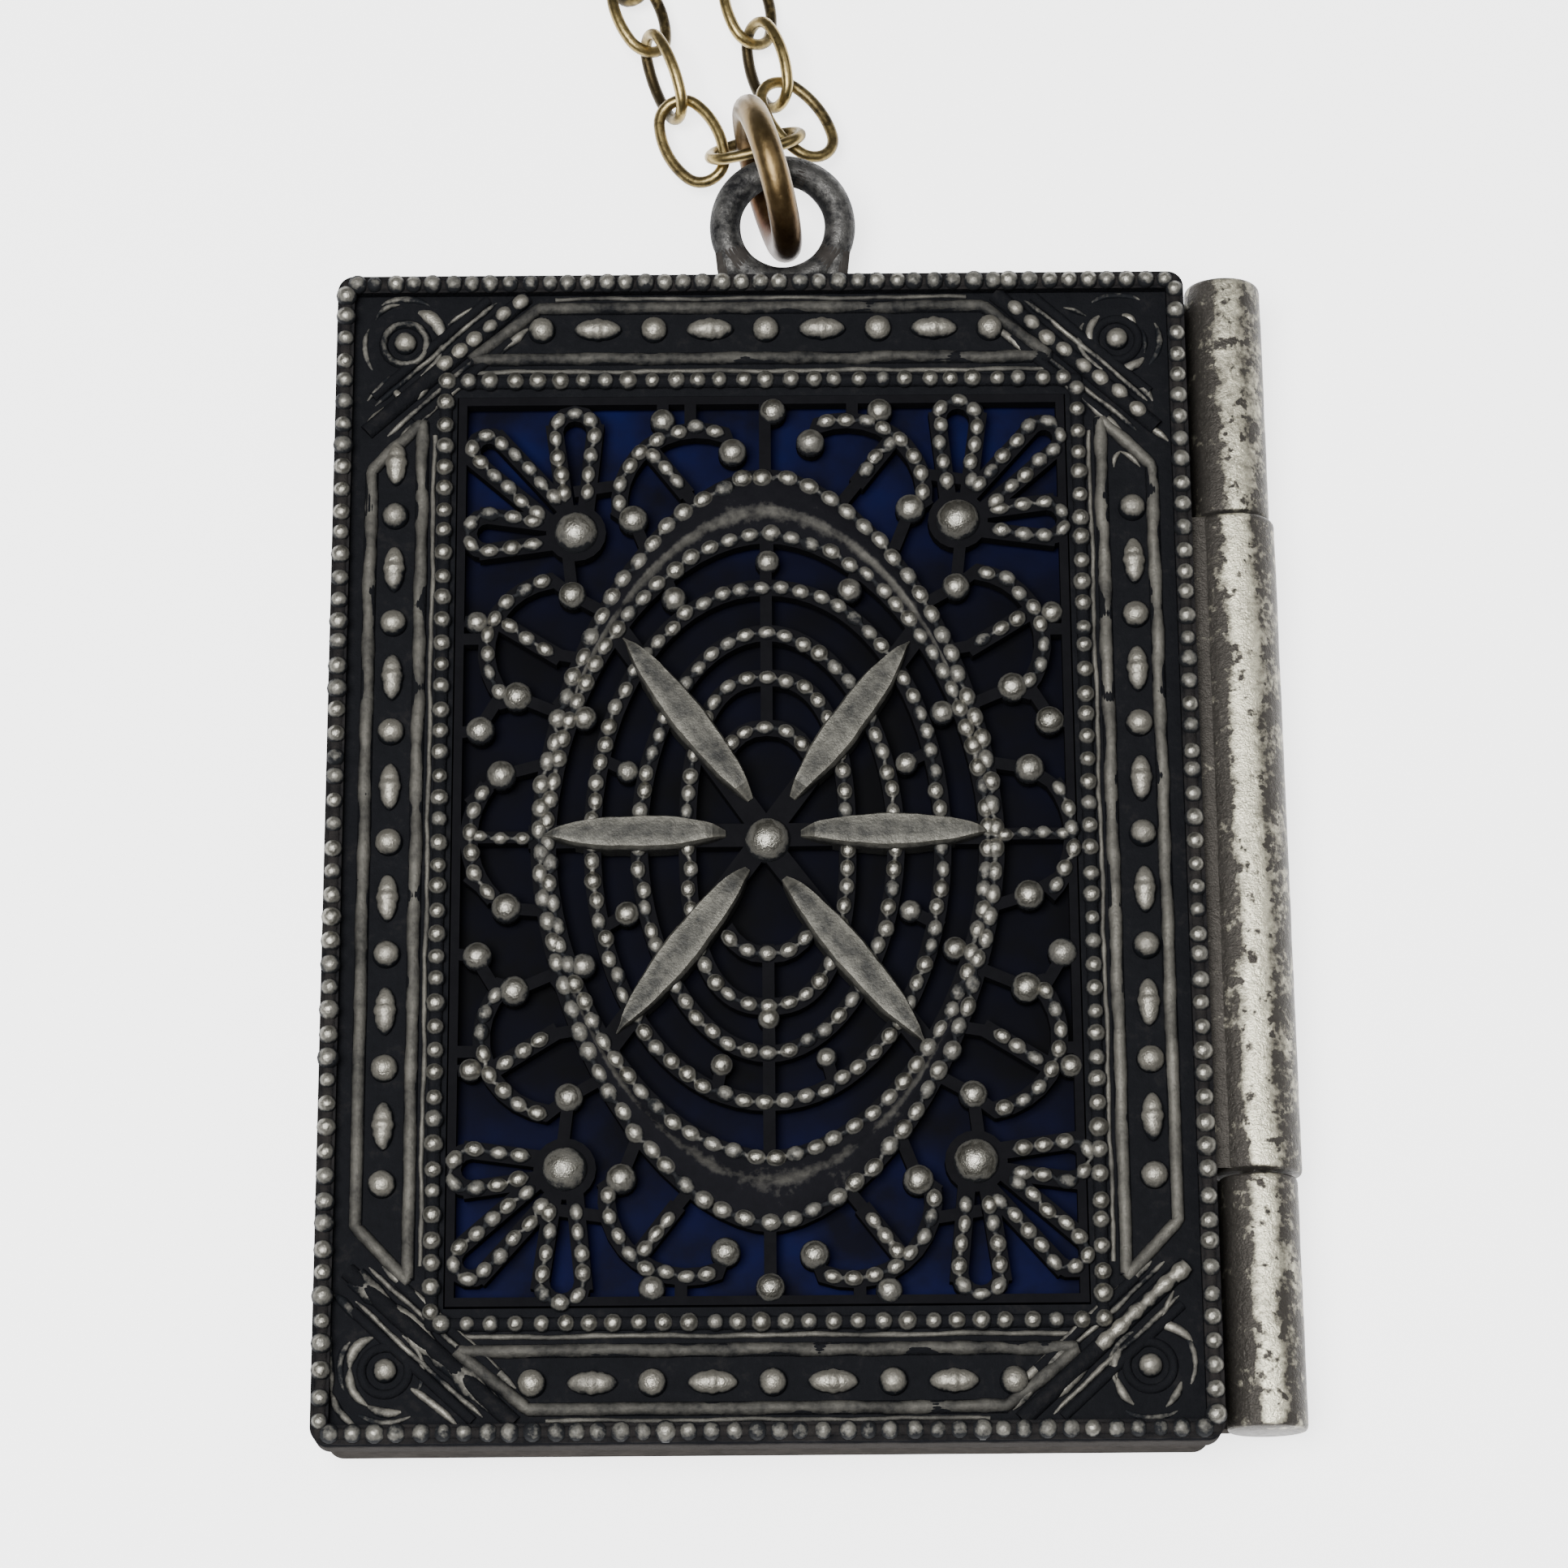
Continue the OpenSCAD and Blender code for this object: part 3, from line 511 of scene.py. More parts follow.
# Round and long beads by turns, in a row along each side
def borderRows():
    parts, balls = [], []
    (ballLift, ballRadius), (longLift, length) = border["ball"], border["longBead"]
    for count, middleX, middleY, turned, width in border["rows"]:
        for i in range(count):
            shift = (i - (count - 1) / 2) * border["rowStep"]
            x, y = (middleX, middleY + shift) if turned else (middleX + shift, middleY)
            if i % 2 == 0:
                balls.append([x, y, border["plateTop"] + ballLift, ballRadius])
            else:
                parts.append(longBead(x, y, border["plateTop"] + longLift, length, width, turned))
    return parts + [domes(balls)]


# The channel of each side is outlined by a low raised line with slanted ends
def borderRidges():
    parts = []
    for sign in (-1, 1):
        for turned in (False, True):
            outer, inner, endOut, endIn, wear, thinLines = border["upright" if turned else "across"]
            outline = [(-endOut, outer), (endOut, outer), (endIn, inner), (-endIn, inner),
                       (-endOut, outer)]
            lines = [(outline, *border["channelLine"], wear[sign], True)]
            lines += [([(-half, away), (half, away)], *size, False)
                      for half, away, *size in thinLines]
            for path, width, rise, gain, closed in lines:
                path = flipped(path, 1, sign)
                if turned:
                    path = path[:, ::-1]
                parts.append(ridge(path, border["plateTop"], width, rise, closed=closed,
                                   wearGain=gain))
    return parts


# Bent line from one point to another: a parabola that stands off the chord by the bulge
def bent(x0, y0, x1, y1, bulge, count=13):
    t = np.linspace(0, 1, count)[:, None]
    chord = np.array([x1 - x0, y1 - y0])
    normal = np.array([-chord[1], chord[0]]) / np.linalg.norm(chord)
    return np.array([x0, y0]) + t * chord + 4 * bulge * t * (1 - t) * normal


# Strokes of the four corners, from the corner ring's centre, with X and Y growing outward:
# x and y of the start, x and y of the end, bulge, width, wear
strokes = {
    (1, 1): [
        (-0.75, -0.3, -0.51, 0.82, 0.2, 0.24, 1.1), (0.2, 0.84, 0.62, 0.48, 0.07, 0.26, 1.2),
        (0.83, -0.6, 0.04, -0.98, 0.12, 0.27, 0.95), (0.82, 0.35, 0.85, -0.45, 0.05, 0.15, 0.5),
        (0.51, -1.48, 1.06, -2.06, 0.08, 0.2, 0.7), (-1.61, 1.11, -0.91, 0.82, 0.0, 0.13, 0.6),
        (-0.72, -0.41, -0.4, -0.74, -0.05, 0.17, 0.6), (0.9, -2.9, 1.5, -3.4, 0.0, 0.2, 1.0),
        (-0.2, -4.25, 0.02, -3.72, 0.08, 0.16, 0.9), (0.02, -3.72, 0.6, -4.25, 0.04, 0.16, 0.8)],
    (-1, 1): [
        (-0.38, 1.1, -1.13, 0.13, -0.2, 0.36, 0.95), (-1.3, 0.66, -2.22, 1.27, 0.0, 0.13, 0.9),
        (0.96, 0.83, 0.21, 1.36, -0.12, 0.15, 0.6), (-0.21, -1.89, -0.8, -1.0, 0.08, 0.32, 0.95),
        (0.38, -1.45, -0.04, -1.89, 0.04, 0.25, 0.85), (1.17, -2.68, 0.25, -2.06, 0.0, 0.3, 1.25),
        (1.13, -1.89, 0.38, -1.0, 0.0, 0.13, 0.6)],
    (1, -1): [
        (-0.78, -0.6, -0.98, 0.35, 0.14, 0.23, 0.85), (-0.98, 0.35, -0.5, 1.12, 0.1, 0.24, 0.95),
        (0.27, -1.19, 1.23, -0.68, -0.12, 0.27, 1.0), (0.89, 0.47, 0.41, 1.19, -0.07, 0.2, 0.95),
        (0.75, -2.19, 0.34, -1.33, 0.0, 0.15, 0.65), (-3.08, 0.11, -2.3, -0.7, 0.05, 0.3, 0.8),
        (-4.0, 1.25, -3.2, 0.25, 0.05, 0.24, 0.65), (-2.74, 0.9, -1.75, -0.15, 0.0, 0.34, 0.85)],
    (-1, -1): [
        (0.36, -0.99, 1.01, -0.1, -0.2, 0.27, 0.8), (1.01, -0.1, 0.49, 0.99, -0.2, 0.24, 0.7),
        (0.49, 0.99, -0.49, 1.19, -0.12, 0.26, 0.75), (1.66, -1.26, 1.53, 0.58, 0.0, 0.2, 0.62),
        (1.53, 0.58, 0.81, 1.6, -0.12, 0.2, 0.68), (-0.75, 0.51, -2.11, 1.6, 0.05, 0.2, 0.75),
        (1.53, -2.28, 0.81, -1.46, 0.05, 0.25, 0.65)]}
# Bands of the corners: the shares of their length where the beads start and end, and the beads'
# pitch, neck and wear
bands = {
    (1, 1): (0.06, 0.93, 0.7, 0.3, 1.05), (-1, 1): (0.0, 0.56, 0.66, 0.3, 0.95),
    (1, -1): (0.45, 1.0, 0.6, 0.8, 0.95)}
# Where the band and the ring are, with X and Y growing outward. The lines beside the band are their
# distance from it, the share cut off both ends, width and wear. The ring is its radius, last angle,
# width, rise and wear. The faded arcs are radius, first and last angle and wear
corner = dict(
    band=((7.3, 17.6), (12.2, 13.1)), beads=(0.14, 0.25), wornCut=0.3,
    wornBand=dict(width=0.62, rise=0.2, unrest=2.0, wearGain=0.75),
    beside=[(0.5, 0.12, 0.17, 0.55), (-0.5, 0.06, 0.17, 0.55), (-0.8, 0.1, 0.26, 0.7)],
    besideRise=0.13, taper=0.4, centre=(11.05, 16.05), ring=(0.68, 345, 0.24, 0.2, 0.5),
    faded=[(1.12, 150, 245, 0.5), (1.3, -40, 25, 0.42), (1.5, 60, 120, 0.42)],
    fadedLine=dict(width=0.2, rise=0.08, unrest=1.5), dome=(0.05, 0.36), domeRise=7,
    strokeWiden=1.2, strokeWear=0.82, stroke=dict(rise=0.17, unrest=0.5, taper=0.35))


# Corner: a band across it, beaded or worn flat, ridges beside it, a ring or strokes round a dome
def cornerParts(signX, signY):
    here = (signX, signY)
    top, taper = border["plateTop"], corner["taper"]
    a, b = np.array(corner["band"])
    length, along, away = lineFrame(a, b)
    centre = np.array(corner["centre"])

    def line(path, **looks):
        return ridge(flipped(path, signX, signY), top, **looks)

    if here in bands:
        start, end, pitch, neck, gain = bands[here]
        lift, radius = corner["beads"]
        path = flipped([a + start * (b - a), a + end * (b - a)], signX, signY)
        parts = [beadString(path, top + lift, radius, pitch, wearGain=gain, neck=neck)]
    else:
        cut = corner["wornCut"] * along
        parts = [line([a + cut, b - cut], **corner["wornBand"])]
    for offset, share, width, gain in corner["beside"]:
        cut = share * length * along
        parts.append(line([a + offset * away + cut, b + offset * away - cut], width=width,
                          rise=corner["besideRise"], wearGain=gain, taper=taper))
    if here == (-1, 1):
        radius, last, width, rise, gain = corner["ring"]
        circle = arc(centre, radius, 0, last)
        parts.append(line(np.vstack([circle, circle[:1]]), width=width, rise=rise, closed=True,
                          wearGain=gain))
    for radius, start, end, gain in corner["faded"]:
        parts.append(line(arc(centre, radius, start, end, 14), **corner["fadedLine"], wearGain=gain,
                          taper=taper))
    lift, radius = corner["dome"]
    parts.append(domes([[*(centre * here), top + lift, radius]], rise=corner["domeRise"]))
    for *stroke, width, gain in strokes[here]:
        parts.append(line(centre + bent(*stroke), width=corner["strokeWiden"] * width,
                          wearGain=corner["strokeWear"] * gain, **corner["stroke"]))
    return parts


addPiece("borderRidges", borderRidges(), "front", finish["rubbedRidges"])
parts = borderRows()
for signX, signY in ((-1, 1), (1, 1), (-1, -1), (1, -1)):
    parts += cornerParts(signX, signY)
addPiece("borderOrnament", parts, "front", finish["rubbedBorder"])


# Beaded lines of the cover. Each side of the outer line runs from corner to corner, given by their
# signs, with a pitch, lift and wear of its own: closer on the short sides, lower at the foot
beadLines = dict(
    outer=(12.87, 17.9), outerRadius=0.285, inner=(9.75, 14.72), innerRadius=0.28, innerPitch=0.71,
    innerLift=0.15, sizeSpread=0.06, shift=0.05, dome=dict(around=14, rise=5, low=-0.5),
    sides=[
        ((-1, 1), (1, 1), 0.6, 0.05, 0.7), ((1, 1), (1, -1), 0.71, 0.05, 0.9),
        ((1, -1), (-1, -1), 0.64, -0.03, 0.55), ((-1, -1), (-1, 1), 0.71, 0.05, 0.9)])


# Row of round beads along a line, at even steps with a little play, each a dome of its own size
def beadDots(path, height, radius, pitch, wearGain):
    length = pathLength(path)
    count = int(round(length / pitch))
    step = length / count
    play = beadLines["shift"] * step * random.normal(size=count)
    at, _ = alongPath(path, (np.arange(count) + 0.5) * step + play)
    sizes = radius * (1 + beadLines["sizeSpread"] * random.normal(size=count))
    rows = np.column_stack([at, np.full(count, height), sizes])
    return domes(rows, **beadLines["dome"], wearGain=wearGain)


# The beaded line along the cover's four edges, and the one round the window
def beadedEdges():
    parts = []
    top, radius = border["edgeTop"], beadLines["outerRadius"]
    for start, end, pitch, lift, gain in beadLines["sides"]:
        path = flipped([start, end], *beadLines["outer"])
        parts.append(beadDots(path, top + lift, radius, pitch, gain))
    signs = [(-1, -1), (1, -1), (1, 1), (-1, 1), (-1, -1)]
    parts.append(beadDots(flipped(signs, *beadLines["inner"]),
                          border["plateTop"] + beadLines["innerLift"], beadLines["innerRadius"],
                          beadLines["innerPitch"], 1.0))
    return parts


addPiece("beadedEdges", beadedEdges(), "front", finish["rubbedBeads"])
print("border made")


# The pierced panel. Rows: ovals are half sizes, power and string radius; loose beads, scroll beads
# and side beads are x, y and radius; quarters are signs, then flower, top scroll and side scroll;
# petals are turn, length and half width; scrolls are radius, first and last angle; middles are
# side, centre X and the places of two beads; blades are inner and outer end
panel = dict(
    seat=3.35, stringHeight=3.46, centre=(0.1, -0.15),
    ovals=[
        (6.85, 11.67, 1.75, 0.27), (6.6, 9.75, 1.85, 0.25), (5.25, 8.05, 2.05, 0.235),
        (3.85, 6.58, 1.95, 0.235), (2.4, 5.14, 2.5, 0.23)],
    pitchOfRadius=2.6, shortArc=(1.75, 3.55, 2.4), shortSweep=42, shortString=(0.23, 0.6),
    quarters=[
        (1, 1, 6.0, 10.05, 2.6, 11.0, 6.2, 6.1), (-1, 1, 5.7, 9.72, 2.0, 10.7, 6.1, 5.9),
        (-1, -1, 5.9, 10.15, 2.3, 11.0, 6.1, 6.2), (1, -1, 6.15, 10.0, 2.5, 11.1, 6.4, 6.2)],
    flowerBead=0.66, petals=[(0, 3.3, 0.58), (45, 4.35, 0.52), (89, 3.95, 0.62)],
    petalRoot=(1.0, 0.34), petalString=(0.235, 0.63), string=(0.235, 0.64), scroll=(2.38, -8, 112),
    scrollStem=((1.45, 1.75), (0.45, 0.45)), sideScroll=(2.3, -42, 82),
    sideStem=((1.85, 0.9), (0.25, -0.1)),
    scrollBeads=[(1.95, -0.55, 0.45), (-1.1, 1.65, 0.43), (1.05, 2.7, 0.38)],
    sideBeads=[(1.35, -1.45, 0.45), (-0.3, 1.8, 0.42), (2.6, 0.95, 0.34), (2.45, -2.52, 0.43)],
    middles=[(-1, 6.1, 7.9, 1.96, 7.7, -2.2), (1, 6.5, 8.0, 2.06, 7.9, -1.9)],
    middleScroll=(2.75, -44, 36), middleBead=0.45, middleStem=6.9, stemString=(0.2, 0.6),
    looseBeads=[
        (0.15, 8.75, 0.36), (-2.7, 7.56, 0.38), (2.65, 7.8, 0.38), (-5.4, 3.75, 0.37),
        (5.4, 3.85, 0.37), (-4.1, 2.05, 0.33), (4.3, 2.25, 0.33), (-4.1, -2.4, 0.37),
        (4.35, -2.37, 0.33), (-5.4, -4.0, 0.38), (5.65, -3.55, 0.36), (-1.3, -7.05, 0.33),
        (1.8, -6.85, 0.3), (0.1, -5.65, 0.32), (0.35, 13.7, 0.4), (0.1, -13.7, 0.42)],
    centreBead=0.68, beadLift=0.01, beadSpare=0.012, beadDome=dict(around=28, rise=10),
    blades=[
        (1.1, 0.05, 6.8, 0.05), (0.85, 1.15, 4.45, 6.1), (-0.4, 1.1, -4.25, 6.28),
        (-1.15, 0.05, -6.7, 0.0), (-0.5, -1.05, -4.4, -6.1), (0.6, -1.35, 4.75, -6.5)])


# Superellipse: x and y are signed powers of cosine and sine, so a small power makes it pointed
def ovalPath(halfX, halfY, power, start=0, end=360, count=181):
    angle = np.radians(np.linspace(start, end, count))
    x, y = (np.sign(wave) * abs(wave) ** (2 / power) for wave in (np.cos(angle), np.sin(angle)))
    return np.array(panel["centre"]) + np.stack([halfX * x, halfY * y], -1)


# The five beaded ovals, and a short beaded arc above and below the centre
def ovalStrings():
    parts = []
    height, sweep = panel["stringHeight"], panel["shortSweep"]
    for *oval, radius in panel["ovals"]:
        pitch = radius * panel["pitchOfRadius"]
        parts.append(beadString(ovalPath(*oval), height, radius, pitch, closed=True))
    for middle in (90, 270):
        path = ovalPath(*panel["shortArc"], middle - sweep, middle + sweep, 40)
        parts.append(beadString(path, height, *panel["shortString"]))
    return parts


# Petal outline: out from the root, half round the tip and back
def petalPath(turn, length, half):
    rootX, rootY = panel["petalRoot"]
    tip = arc((length - half, 0), half, -90, 90, 9)
    return rotated(np.vstack([[[rootX, -rootY]], tip, [[rootX, rootY]]]), turn)


# The beaded petals and scrolls of the four quarters, and the scroll of each long side
def scrollStrings():
    height = panel["stringHeight"]
    lines = []
    for signX, signY, *places in panel["quarters"]:
        flower, top, side = np.array(places).reshape(3, 2)
        lines += [(flower + petalPath(*petal), signX, signY, "petalString")
                  for petal in panel["petals"]]
        lines += [(path, signX, signY, "string") for path in (
            arc(top, *panel["scroll"]), top + np.array(panel["scrollStem"]),
            arc(side, *panel["sideScroll"]), side + np.array(panel["sideStem"]))]
    for side, centreX, *_ in panel["middles"]:
        radius = panel["middleScroll"][0]
        lines += [(arc((centreX, 0), *panel["middleScroll"]), side, 1, "string"),
                  ([[panel["middleStem"], 0], [centreX + radius, 0]], side, 1, "stemString")]
    return [beadString(flipped(path, signX, signY), height, *panel[look])
            for path, signX, signY, look in lines]


# Round beads: the centre, the loose ones, and those of the long sides and of the quarters
def panelBeads():
    rows = [[*panel["centre"], panel["centreBead"]]]
    rows += [list(bead) for bead in panel["looseBeads"]]
    for side, _, *ends in panel["middles"]:
        rows += [[side * x, y, panel["middleBead"]] for x, y in (ends[:2], ends[2:])]
    for signX, signY, flowerX, flowerY, topX, topY, sideX, sideY in panel["quarters"]:
        rows.append([signX * flowerX, signY * flowerY, panel["flowerBead"]])
        rows += [[signX * (topX + x), signY * (topY + y), r] for x, y, r in panel["scrollBeads"]]
        rows += [[signX * (sideX + x), signY * (sideY + y), r] for x, y, r in panel["sideBeads"]]
    rows = np.array(rows)
    height = np.full(len(rows), panel["seat"] + panel["beadLift"])
    return [domes(np.column_stack([rows[:, :2], height, rows[:, 2] + panel["beadSpare"]]),
                  **panel["beadDome"])]


# The blades' section is its share of the half width, its height over the seat and its wear
bladeLook = dict(
    rings=29, width=1.05, middle=0.95, power=2.3, fullness=0.85, least=0.02, sway=(0.05, 2.4),
    tips=12, tipHeight=(0.1, 1), tipPower=0.5,
    across=[-1.0, -1.0, -0.84, -0.3, 0.3, 0.84, 1.0, 1.0],
    lift=[-0.3, 0.38, 0.58, 0.595, 0.595, 0.58, 0.38, -0.3],
    worn=[0, 0.5, 1.1, 0.62, 0.62, 1.1, 0.5, 0])


# Blade: a lens outline, narrowing by a power of the distance from its middle, with a flat top and
# bevels, and lower at both tips
def blade(innerX, innerY, tipX, tipY):
    look = bladeLook
    rings, corners = look["rings"], len(look["across"])
    length, along, side = lineFrame((innerX, innerY), (tipX, tipY))
    u = np.linspace(0, 1, rings)
    lens = np.clip(1 - abs(2 * u - look["middle"]) ** look["power"], 0.0, 1) ** look["fullness"]
    sway, wavelength = look["sway"]
    half = (0.5 * look["width"] * lens + look["least"]) * (1 + sway * waver(u * length, wavelength))
    tips = np.clip(np.minimum(u, 1 - u) * look["tips"], *look["tipHeight"]) ** look["tipPower"]
    lift = np.array(look["lift"])
    height = panel["seat"] + np.where(lift > 0, lift * tips[:, None], lift)
    points = gridPoints([innerX, innerY] + along * (u * length)[:, None], steady(side, rings),
                        half[:, None] * np.array(look["across"]), height)
    caps = np.array([[0, 1, 6, 7], [1, 2, 5, 6], [2, 3, 4, 5]])
    quads = np.vstack([gridQuads(rings, corners)[:, ::-1], caps,
                       caps[:, ::-1] + (rings - 1) * corners])
    return points, quads, noTris, np.tile(look["worn"], rings)


# Bell curves of the crescents are their height, place and reach across the band
crescents = dict(
    sweep=62, rings=90, columns=13, endPower=0.35, arch=0.3, crest=(0.07, 0.45, 0.09), seat=3.42,
    under=3.2, sheenWearAt=(0.36, 0.12), sheenWearWaver=(0.15, 30), topSheenWear=0.55, footSheenWear=0.34)


# Crescents: the smooth raised bands that fill the panel between the two outer ovals, above and
# below. Across the band the height is half a sine wave and a crest, and the wear a bell curve: a
# worn band that is partly a painted sheen, stronger on the top band than at the foot
def crescent(middle, shine):
    look = crescents
    rings, columns = look["rings"], look["columns"]
    angle = np.linspace(middle - look["sweep"], middle + look["sweep"], rings)
    outer, inner = (ovalPath(*oval[:3], angle[0], angle[-1], rings) for oval in panel["ovals"][:2])
    across = np.linspace(0, 1, columns)
    ends = np.sin(np.linspace(0, math.pi, rings)) ** look["endPower"]
    crest, *crestPlace = look["crest"]
    arch = look["arch"] * np.sin(math.pi * across) + crest * bell(across, *crestPlace)
    points = gridPoints(inner, outer - inner, steady(across, rings),
                        look["seat"] + ends[:, None] * arch).reshape(rings, columns, 3)
    under = points * [1, 1, 0] + [0, 0, look["under"]]
    both = np.concatenate([points, under[:, ::-1]], 1)
    share, wavelength = look["sheenWearWaver"]
    # Partly painted sheen: the worn band across the crescent also stands in for a soft sheen
    shine = (shine + share * waver(angle, wavelength))[:, None]
    wear = np.clip(bell(across, *look["sheenWearAt"]) * shine, 0, 1)
    wear = np.concatenate([wear, np.zeros_like(wear)], 1)
    rim = np.arange(columns)
    last = 2 * columns - 1
    caps = np.stack([rim[:-1], rim[1:], last - rim[1:], last - rim[:-1]], -1)
    quads = np.vstack([gridQuads(rings, 2 * columns), caps[:, ::-1],
                       caps + (rings - 1) * 2 * columns])
    return both.reshape(-1, 3), quads, noTris, wear.ravel()


addPiece("ovalStrings", ovalStrings(), "front", finish["rubbedBeads"])
addPiece("scrollStrings", scrollStrings(), "front", finish["rubbedBeads"])
addPiece("roundBeads", panelBeads(), "front", finish["rubbedBeads"])
parts = [crescent(90, crescents["topSheenWear"]), crescent(270, crescents["footSheenWear"])]
addPiece("crescentBands", parts, "front", finish["softCrescents"])
parts = [blade(*row) for row in panel["blades"]]
addPiece("starBlades", parts, "front", finish["polishedBlades"], smooth=False)
print("panel made")


# Spine: the leaf and the tongues are spans along X and Z
spine = dict(
    axis=(14.5, 2.2), midRadius=1.33, endRadius=1.19, midHalf=10.2, gap=0.2, top=18.1, foot=-17.75,
    around=48, ringStep=0.3, cap=0.03, lip=0.05, bend=0.12, dent=0.014, dentWaves=(6.0, 3.5),
    rubHighlightAt=88, rubHighlightHalf=18, rubHighlightSway=(5, 9.0), rightLighter=(0.12, 0.2, 0.6), baseWear=0.12, rubHighlightWear=0.78,
    edgePower=0.3, capWear=0.1, topRubHighlight=0.56, footRubHighlight=0.9, leaf=(13.17, 13.75, 3.0, 3.17),
    leafCuts=40, leafWear=0.05, tongue=(12.95, 13.62, 0.78, 0.86), tongueReach=0.85,
    tongueWear=-0.5)


# Tube of the spine, its radius dented by slow waves, its two ends rounded over. Its wear is a band
# near the top, worn metal that also serves as a painted highlight band: the exponential of minus
# the fourth power of the angle from the band's middle over its half width, and the surface is a
# little lighter on the right side than on the left
def spineTube(y0, y1, radius, rub=1.0):
    count = int((y1 - y0) / spine["ringStep"])
    y0, y1 = y0 - spine["cap"], y1 + spine["cap"]
    lip, bend = spine["lip"], spine["bend"]
    inner = np.linspace(y0 + bend, y1 - bend, count - 4)
    y = np.concatenate([[y0, y0 + lip], inner, [y1 - lip, y1]])
    edge = np.clip(np.minimum(y - y0, y1 - y) / bend, 0, 1)
    around = spine["around"]
    angle = turnAngles(around)
    slow, quick = (waver(y, wavelength)[:, None] for wavelength in spine["dentWaves"])
    waves = spine["dent"] * (slow * np.sin(2 * angle + 1) + quick * np.sin(3 * angle))
    size = (radius - lip * (1 - edge) ** 2)[:, None] - abs(waves)
    axisX, axisZ = spine["axis"]
    points = np.stack([axisX + size * np.cos(angle), np.repeat(y[:, None], around, 1),
                       axisZ + size * np.sin(angle)], -1).reshape(-1, 3)
    points = np.vstack([points, [[axisX, y0, axisZ], [axisX, y1, axisZ]]])
    # Painted highlight: the worn band along the top stands in partly for the light's highlight
    sway, wavelength = spine["rubHighlightSway"]
    middle = spine["rubHighlightAt"] + sway * waver(y, wavelength)[:, None]
    band = np.exp(-((np.degrees(angle) - middle) / spine["rubHighlightHalf"]) ** 4)
    # A little lighter on the right side than on the left
    rightLighter, rightFrom, rightSpan = spine["rightLighter"]
    wear = spine["baseWear"] + rightLighter * np.clip((np.cos(angle) + rightFrom) / rightSpan, 0, 1)
    wear = wear + spine["rubHighlightWear"] * rub * band * edge[:, None] ** spine["edgePower"]
    return (points, gridQuads(count, around)[:, ::-1], endFans(count, around)[:, ::-1],
            np.append(wear.ravel(), [spine["capWear"]] * 2))


# Box from X, Z and Y spans, cut across Y into short lengths
def stripBox(x0, x1, low, high, y0, y1, cuts, worn):
    y = np.linspace(y0, y1, cuts)
    ring = np.array([[x0, low], [x1, low], [x1, high], [x0, high]])
    points = np.stack([np.repeat(ring[None, :, 0], cuts, 0), np.repeat(y[:, None], 4, 1),
                       np.repeat(ring[None, :, 1], cuts, 0)], -1).reshape(-1, 3)
    caps = np.array([[3, 2, 1, 0], [0, 1, 2, 3]]) + [[0], [4 * (cuts - 1)]]
    quads = np.vstack([gridQuads(cuts, 4), caps])
    return points, quads[:, ::-1], noTris, np.full(4 * cuts, worn)


# The back's two knuckles, and under each gap of the spine a thin tongue at the back's wall
def spineEnds():
    gapAt = spine["midHalf"] + spine["gap"]
    parts = [spineTube(gapAt, spine["top"], spine["endRadius"], spine["topRubHighlight"]),
             spineTube(spine["foot"], -gapAt, spine["endRadius"], spine["footRubHighlight"])]
    for side in (-1, 1):
        near, far = sorted((side * gapAt, side * (gapAt - spine["tongueReach"])))
        parts.append(stripBox(*spine["tongue"], near, far, 2, spine["tongueWear"]))
    return parts


midSpan = (-spine["midHalf"], spine["midHalf"])
tube = spineTube(*midSpan, spine["midRadius"])
leaf = stripBox(*spine["leaf"], *midSpan, spine["leafCuts"], spine["leafWear"])
addPiece("spineMiddle", [tube], "front", finish["spineRubAndHighlight"])
addPiece("spineLeaf", [leaf], "front", finish["spineRubAndHighlight"], smooth=False)
addPiece("spineEnds", spineEnds(), "back", finish["spineRubAndHighlight"])

bail = dict(
    foot=(0.7, 18.2, 1.64), out=2.4, radius=1.82, wire=0.97, slope=9.5, rings=80,
    uneven=((0.015, 3), (-0.01, 7)), legX=(1.8, 1.5), legWire=0.87, legRings=12, around=24)


# Ring of the bail: a circle in a plane that slopes up away from the cover. Two straight legs run
# beside it, from the cover's edge to the ring's widest places
def bailTubes():
    rings, legRings, around = bail["rings"], bail["legRings"], bail["around"]
    angle = turnAngles(rings)
    slope = math.radians(bail["slope"])
    outward = np.array([0, math.cos(slope), math.sin(slope)])
    lift = np.array([0, -math.sin(slope), math.cos(slope)])
    foot, across = np.array(bail["foot"]), np.array([1.0, 0, 0])
    side = np.cos(angle)[:, None] * across + np.sin(angle)[:, None] * outward
    uneven = sum(share * np.sin(waves * angle) for share, waves in bail["uneven"])
    ring = foot + bail["out"] * outward + bail["radius"] * side
    parts = [spaceTube(ring, side, steady(lift, rings), 0.5 * bail["wire"] * (1 + uneven), around,
                       closed=True)]
    endX, startX = bail["legX"]
    for sign in (-1, 1):
        start, end = sign * startX * across, sign * endX * across + bail["out"] * outward
        t = np.linspace(0, 1, legRings)[:, None]
        parts.append(spaceTube(foot + start + t * (end - start), steady(across, legRings),
                               steady(lift, legRings), 0.5 * bail["legWire"], around))
    return parts


addPiece("bailWire", bailTubes(), "back", finish["rubbedBail"])

jumpRing = dict(
    centre=(0.22, 21.91, 2.745), radius=2.25, wire=0.95, lean=16, rings=72, around=20,
    wear=(0.5, 0.45, 0.5))


